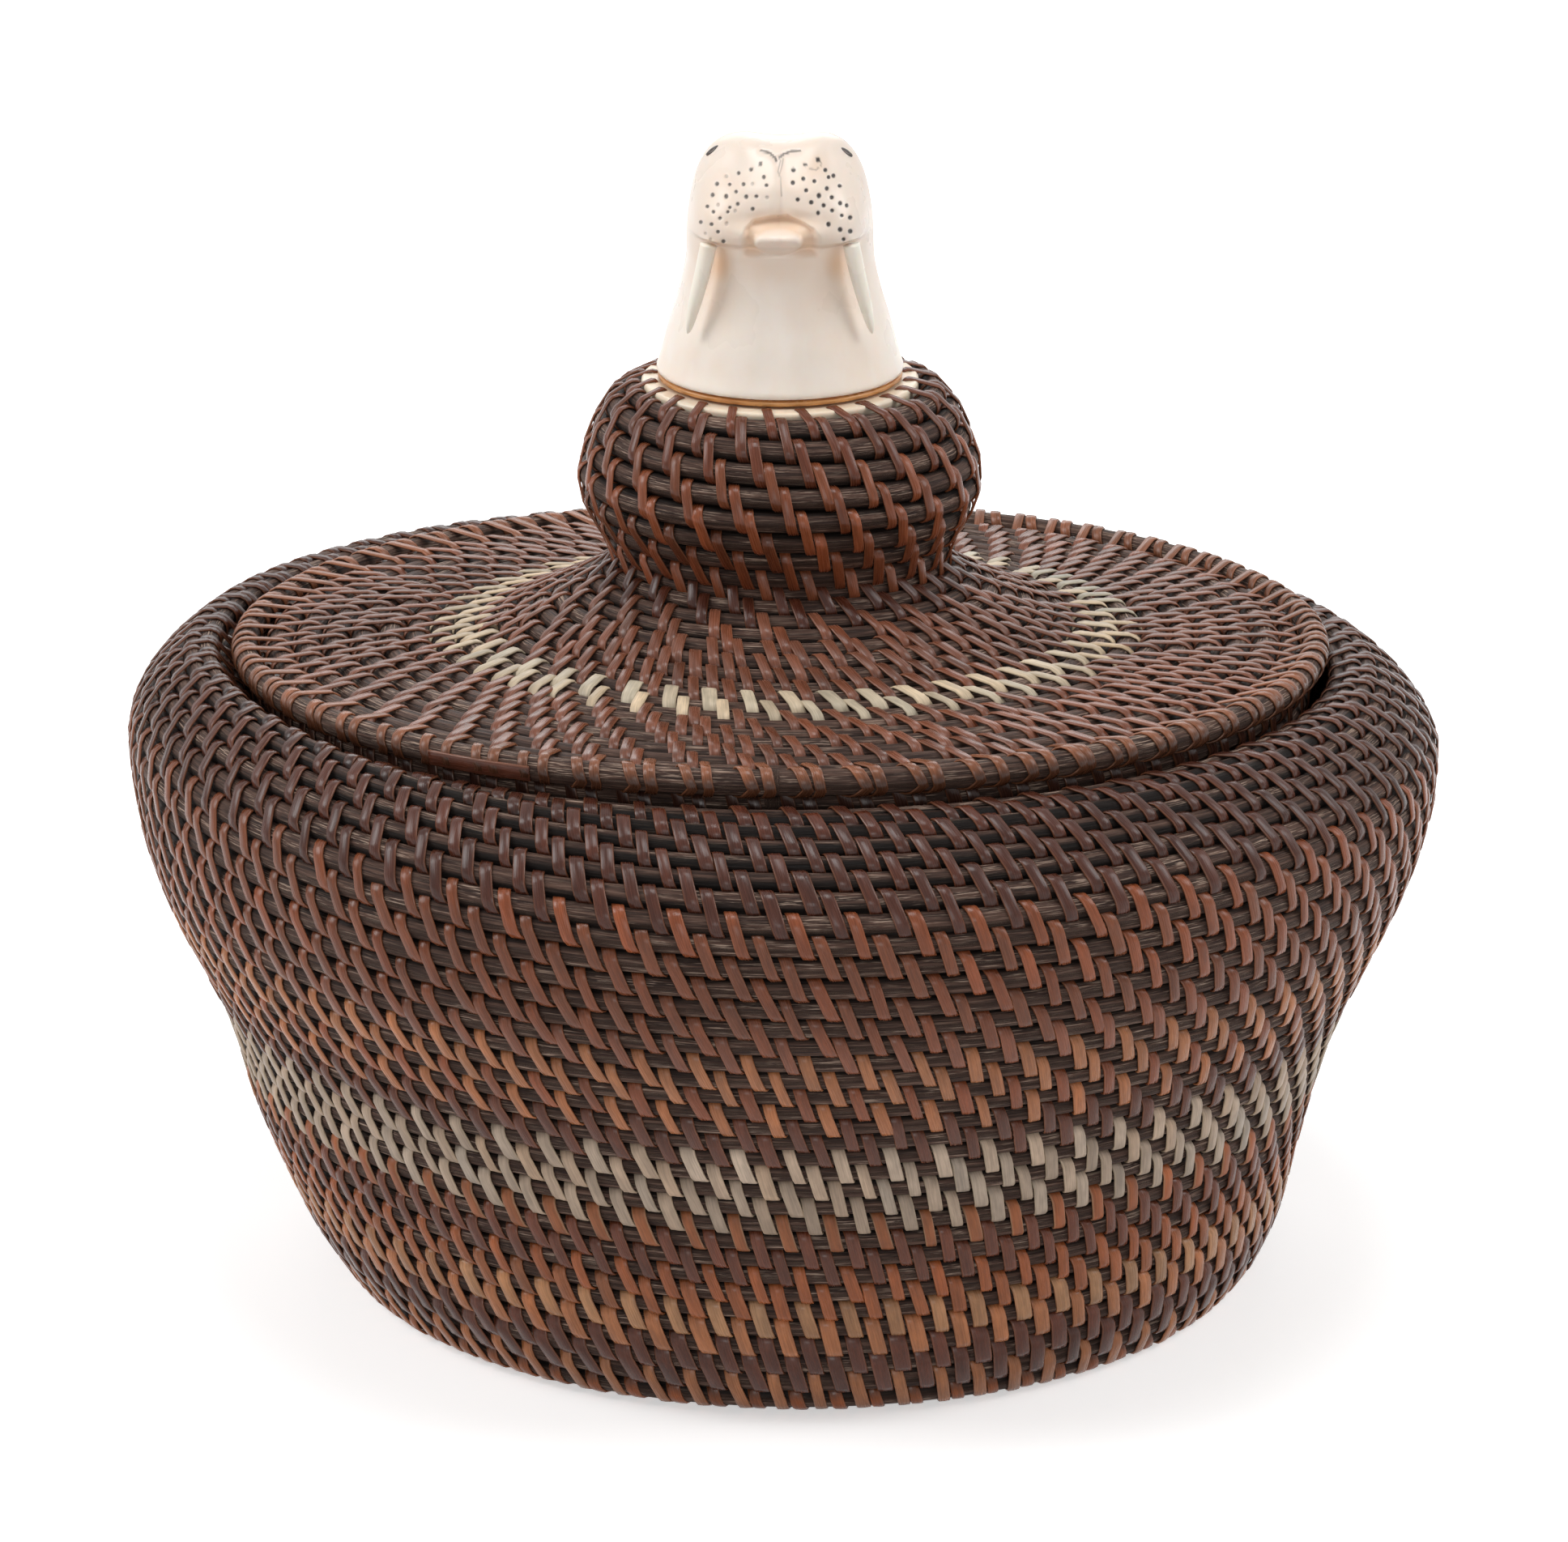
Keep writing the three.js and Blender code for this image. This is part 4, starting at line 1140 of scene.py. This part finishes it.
def head_skin():
    """The head before it is carved, as rows from the foot up, with each point's angle."""
    angles = np.concatenate([np.linspace(*stretch, endpoint=False) for stretch in COLUMN_STRETCHES])
    angles = np.where(angles > math.pi, angles - TURN, angles)
    far = far_along(head_outline * [FINIAL_HEIGHT, FINIAL_BASE_RADIUS])
    rows = np.concatenate([np.linspace(*stretch, endpoint=False) for stretch in ROW_STRETCHES]
                          + [np.linspace(ROW_STRETCHES[-1][1], far[-1] - CROWN_GAP, CROWN_ROWS)])
    up, out = read_curve(head_outline, far, rows).T
    angle, up = np.meshgrid(angles, up)
    side = np.broadcast_to(out[:, None], angle.shape) * FINIAL_BASE_RADIUS
    radius = side + FINIAL_BASE_RADIUS * head_swell(angle, up) * np.clip(side / CROWN_RADIUS, 0, 1)
    height = up * FINIAL_HEIGHT
    points = round_place(radius, height + FINIAL_BOTTOM, angle)
    x, y = points[..., 0], points[..., 1]
    left, right = (hill(x, middle, CROWN_BUMP_WIDTH) for middle in CROWN_BUMPS)
    bumps = (left + right) * smooth(-y, -5, 1)
    points[..., 2] += smooth(up, CROWN_FROM, 1.0) * (CROWN_BUMP_RISE * bumps + CROWN_LIFT)
    points[..., 2] -= smooth(up, BACK_FROM, 1.0) * BACK_SLOPE * np.maximum(y + BACK_START, 0) ** 2
    press(points, angle, FOOT_INSET * smooth(FOOT_BEVEL - height, 0, FOOT_BEVEL))
    return points, angle


def press(points, angle, depth):
    """Moves points of the head inwards."""
    points[..., 0] -= depth * np.sin(angle)
    points[..., 1] += depth * np.cos(angle)


def face_marks(u, v, scale):
    """How deep the face is carved, how dark it is inked, and how much stain and painted shade it has."""
    ink, dent = np.zeros(u.shape), np.zeros(u.shape)
    rng = np.random.default_rng([SEED, 7])
    for pits, strength, share in PIT_GROUPS:
        for x, y in pits:
            size = PIT_RADIUS * rng.uniform(*PIT_SIZES) * share
            d = np.hypot(u - x, (v - y) * rng.uniform(*PIT_HEIGHTS)) / scale / size
            ink = np.maximum(ink, strength * smooth(PIT_INK[0] - d, 0, PIT_INK[1]))
            dent += PIT_DEPTH * np.exp(-d ** 2)
    for lines, strength, edge, fade, depth, half in LINE_GROUPS:
        for line in lines:
            d = line_distance(u, v, line) / scale
            ink = np.maximum(ink, strength * smooth(edge - d / LINE_RADIUS, 0, fade))
            dent += depth * np.exp(-(d / half) ** 2)
    arch = np.interp(u, *np.transpose(MOUTH_ARCH[1:-1]))
    below, left, right, foot = MOUTH_EDGES
    inside = smooth(v - arch, 0, below) * smooth(u, *left) * smooth(-u, *right) * smooth(-v, *foot)
    from_lip = np.hypot((u - LIP_MIDDLE[0]) / LIP_HALF[0], (v - LIP_MIDDLE[1]) / LIP_HALF[1])
    lip = smooth(LIP_EDGE[0] - from_lip, 0, LIP_EDGE[1])
    bulge = LIP_RISE * np.sqrt(np.clip(1 - from_lip ** 2, 0, 1))
    dent += MOUTH_DEPTH * inside * (1 - lip) - bulge + LIP_FOLD * lip
    # Painted shade in the mouth's hollow and under the lip, kept with the stains
    stain_and_shade = MOUTH_HOLLOW_SHADE * inside * (1 - lip) + LIP_UNDERSIDE_SHADE * lip * smooth(v, *LIP_SHADOW)
    for x, y, wide, high, strength in STAINS_AND_SHADE:
        stain_and_shade = np.maximum(stain_and_shade, strength * np.exp(-((u - x) / wide) ** 2 - ((v - y) / high) ** 2))
    return dent, ink, stain_and_shade


def build_head():
    """The carved head, open below for the peg."""
    points, angle = head_skin()
    facing = smooth(np.cos(angle), 0.1, 0.35)
    dent, ink, stain_and_shade = (mark * facing for mark in face_marks(*face_pixels(finial_place(points))))
    press(points, angle, dent)
    bore = round_place(PEG_BORE, FINIAL_BOTTOM, angle[0])
    points = np.concatenate([[bore + [0, 0, PEG_DEPTH], bore], points])
    count, columns = points.shape[:2]
    apex = points[-1, :, 2].mean() + 0.05
    every = np.vstack([points.reshape(-1, 3), [(0, 0, FINIAL_BOTTOM + PEG_DEPTH), (0, 0, apex)]])
    size = count * columns
    faces = [loop_faces(1, count, columns, False), cone_faces(0, columns, size)[:, [1, 0, 2]],
             cone_faces(size - columns, columns, size + 1)]
    marks = {key: np.concatenate([np.zeros(2 * columns), mark.ravel(), np.zeros(2)])
             for key, mark in (("ink", ink), ("stain_and_shade", stain_and_shade))}
    make_piece("walrus_head_carved", "walrus_head", "lid", head_finish, finial_place(every), faces,
               marks)


# Tusks: how far the root goes up into the muzzle, how far they stand off and bow out, and their thickness
TUSK_ROOT_HIDDEN = 1.0
TUSK_STANDOFF = 0.6
TUSK_BOW = 0.5
TUSK_FULLNESS = 1.06
TUSK_TAPER = 0.8
TUSK_ROUNDING = 3.5
TUSK_LEAST = 0.04
# Eyes: the angles in degrees and the heights among which their places are found, and how pinched they are
EYE_ANGLES = (20, 110, 181)
EYE_HEIGHTS = (21, 26.6, 113)
EYE_PINCH = 0.25


def build_tusk(node, side, along=40, around=20):
    """A tapering tusk that bows out a little, from the fold under the muzzle down beside the neck."""
    share = np.linspace(0, 1, along)
    height = mix(TUSK_ROOT_HEIGHT + TUSK_ROOT_HIDDEN, TUSK_ROOT_HEIGHT - TUSK_LENGTH, share)
    angle = side * mix(TUSK_ROOT_ANGLE, TUSK_TIP_ANGLE, share)
    out = TUSK_ROOT_RADIUS + TUSK_STANDOFF + TUSK_BOW * np.sin(math.pi * share)
    radius = head_radius(angle, np.minimum(height, TUSK_ROOT_HEIGHT)) + out
    middle = round_place(radius, height + FINIAL_BOTTOM, angle)
    rounded = np.sqrt(np.clip(1 - share ** TUSK_ROUNDING, 0, 1))
    thick = np.maximum(TUSK_FULLNESS * TUSK_ROOT_RADIUS * rounded * mix(1.0, TUSK_TAPER, share), TUSK_LEAST)
    heading = unit(np.gradient(middle, axis=0))
    across = unit(np.cross(heading, unit(round_place(1, 0, angle))))
    front = np.cross(across, heading)
    turn = np.linspace(0, TURN, around, endpoint=False)[None, :, None]
    ring = across[:, None] * np.cos(turn) + front[:, None] * np.sin(turn)
    points = middle[:, None] + thick[:, None, None] * ring
    make_piece(f"{node}_carved", node, "lid", tusk_finish, finial_place(points.reshape(-1, 3)),
               tube_faces(along, around))


def build_eye(node, pixel, tilt, rings=8, spokes=36):
    """An almond let into the head where the photograph shows it."""
    side = np.sign(pixel[0] - FACE_MIDDLE)
    angles, heights = np.meshgrid(np.radians(np.linspace(*EYE_ANGLES)) * side, np.linspace(*EYE_HEIGHTS))
    spots = round_place(head_radius(angles, heights), heights + FINIAL_BOTTOM, angles)
    u, v, _ = face_pixels(finial_place(spots))
    i, j = np.unravel_index(np.argmin(np.hypot(u - pixel[0], v - pixel[1])), u.shape)
    centre = spots[i, j]
    i, j = np.clip(i, 1, u.shape[0] - 2), np.clip(j, 1, u.shape[1] - 2)
    around = unit(spots[i, j + 1] - spots[i, j - 1])
    upward = unit(spots[i + 1, j] - spots[i - 1, j])
    outward = unit(np.cross(around, upward))
    outward = outward * np.sign(outward[:2] @ centre[:2])
    long_way = unit(around * math.cos(tilt) + upward * math.sin(tilt))
    short_way = np.cross(outward, long_way)
    turn = np.linspace(0, TURN, spokes, endpoint=False)[:, None]
    pinched = np.sin(turn) * np.abs(np.sin(turn)) ** EYE_PINCH
    almond = long_way * EYE_LENGTH / 2 * np.cos(turn) + short_way * EYE_WIDTH / 2 * pinched
    share = 1 - np.arange(rings)[:, None, None] / rings
    lift = EYE_RISE * np.sqrt(1 - share ** 2) - EYE_DEPTH * (share == 1)
    rows = (centre + share * almond + lift * outward).reshape(-1, 3)
    points = np.vstack([rows, centre + outward * EYE_RISE])
    faces = [loop_faces(1, rings, spokes, False), cone_faces((rings - 1) * spokes, spokes, rings * spokes),
             fan_faces(spokes)[:, ::-1]]
    make_piece(f"{node}_inlaid", node, "lid", eye_finish, finial_place(points), faces)


build_head()
build_tusk("left_tusk", -1)
build_tusk("right_tusk", 1)
build_eye("left_eye", (399, 224), math.radians(-62))
build_eye("right_eye", (1057, 231), math.radians(-56))

# Floor, light and camera

FLOOR_HALF = 4.0
FLOOR_GREY = (0.86, 0.86, 0.86, 1)
# How brightly the floor shows itself to the camera near the basket and far away, at these distances in metres
FLOOR_GLOW = (0.5, 1)
GLOW_DISTANCES = (0.09, 1.2)
WORLD_LIGHT = 0.2
LAMP_TARGET = (0, 0, 0.06)
# Name, place, size and power
LAMPS = [("top_light", (0, -0.1, 0.95), (0.36, 0.3), 2.9),
         ("left_light", (-0.95, -0.05, 0.76), (0.5, 0.6), 7.0),
         ("right_light", (0.95, -0.05, 0.76), (0.5, 0.6), 5.3),
         ("front_light", (0, -1.15, 0.36), (0.5, 0.3), 2.2),
         ("back_light", (0, 0.95, 0.62), (0.8, 0.3), 2.2)]


def background_rays(nodes):
    """One where a ray should find the white background: from the camera, mirrored or passing through."""
    path = nodes.add("LightPath", {})
    mirrored = nodes.math("MAXIMUM", path["Is Glossy Ray"], path["Is Transmission Ray"])
    return nodes.math("MAXIMUM", path["Is Camera Ray"], mirrored)


def build_floor():
    mesh = bpy.data.meshes.new("floor")
    corners = [(x * FLOOR_HALF, y * FLOOR_HALF, 0) for x, y in ((-1, -1), (1, -1), (1, 1), (-1, 1))]
    mesh.from_pydata(corners, [], [(0, 1, 2, 3)])
    nodes = new_material("pale_floor")
    levels = {"Base Color": FLOOR_GREY, "Roughness": 0.9, "Specular IOR Level": 0.1}
    matt = nodes.add("BsdfPrincipled", levels)
    away = nodes.add("VectorMath", {0: nodes.place()}, operation="LENGTH")["Value"]
    level = nodes.ranged(away, *GLOW_DISTANCES, *FLOOR_GLOW)
    seen = nodes.math("MULTIPLY", background_rays(nodes), level)
    glow = nodes.add("Emission", {"Color": WHITE, "Strength": seen})
    both = nodes.add("AddShader", {0: matt[0], 1: glow[0]})
    nodes.add("OutputMaterial", {"Surface": both[0]})
    mesh.materials.append(nodes.owner)
    put("floor", mesh)


def build_world():
    nodes = Nodes(bpy.data.worlds.new("studio"))
    light, white = (nodes.add("Background", {"Color": WHITE, "Strength": level})
                    for level in (WORLD_LIGHT, 1))
    both = nodes.add("MixShader", {0: background_rays(nodes), 1: light[0], 2: white[0]})
    nodes.add("OutputWorld", {"Surface": both[0]})
    bpy.context.scene.world = nodes.owner


def aim(thing, place, way):
    thing.location = place
    thing.rotation_euler = Vector(way).to_track_quat("-Z", "Y").to_euler()


def build_lamp(name, place, size, power):
    light = bpy.data.lights.new(name, "AREA")
    light.shape = "RECTANGLE"
    light.size, light.size_y = size
    light.energy = power
    aim(put(name, light), place, Vector(LAMP_TARGET) - Vector(place))


def build_camera():
    data = bpy.data.cameras.new("camera")
    data.sensor_width = SENSOR_WIDTH
    data.lens = SENSOR_WIDTH * CAMERA_FOCAL_PX / PHOTO_WIDTH
    camera = put("camera", data)
    aim(camera, camera_place * MM, camera_ahead)
    bpy.context.scene.camera = camera


build_floor()
build_world()
for lamp in LAMPS:
    build_lamp(*lamp)
build_camera()
bpy.context.scene.view_settings.view_transform = "Standard"
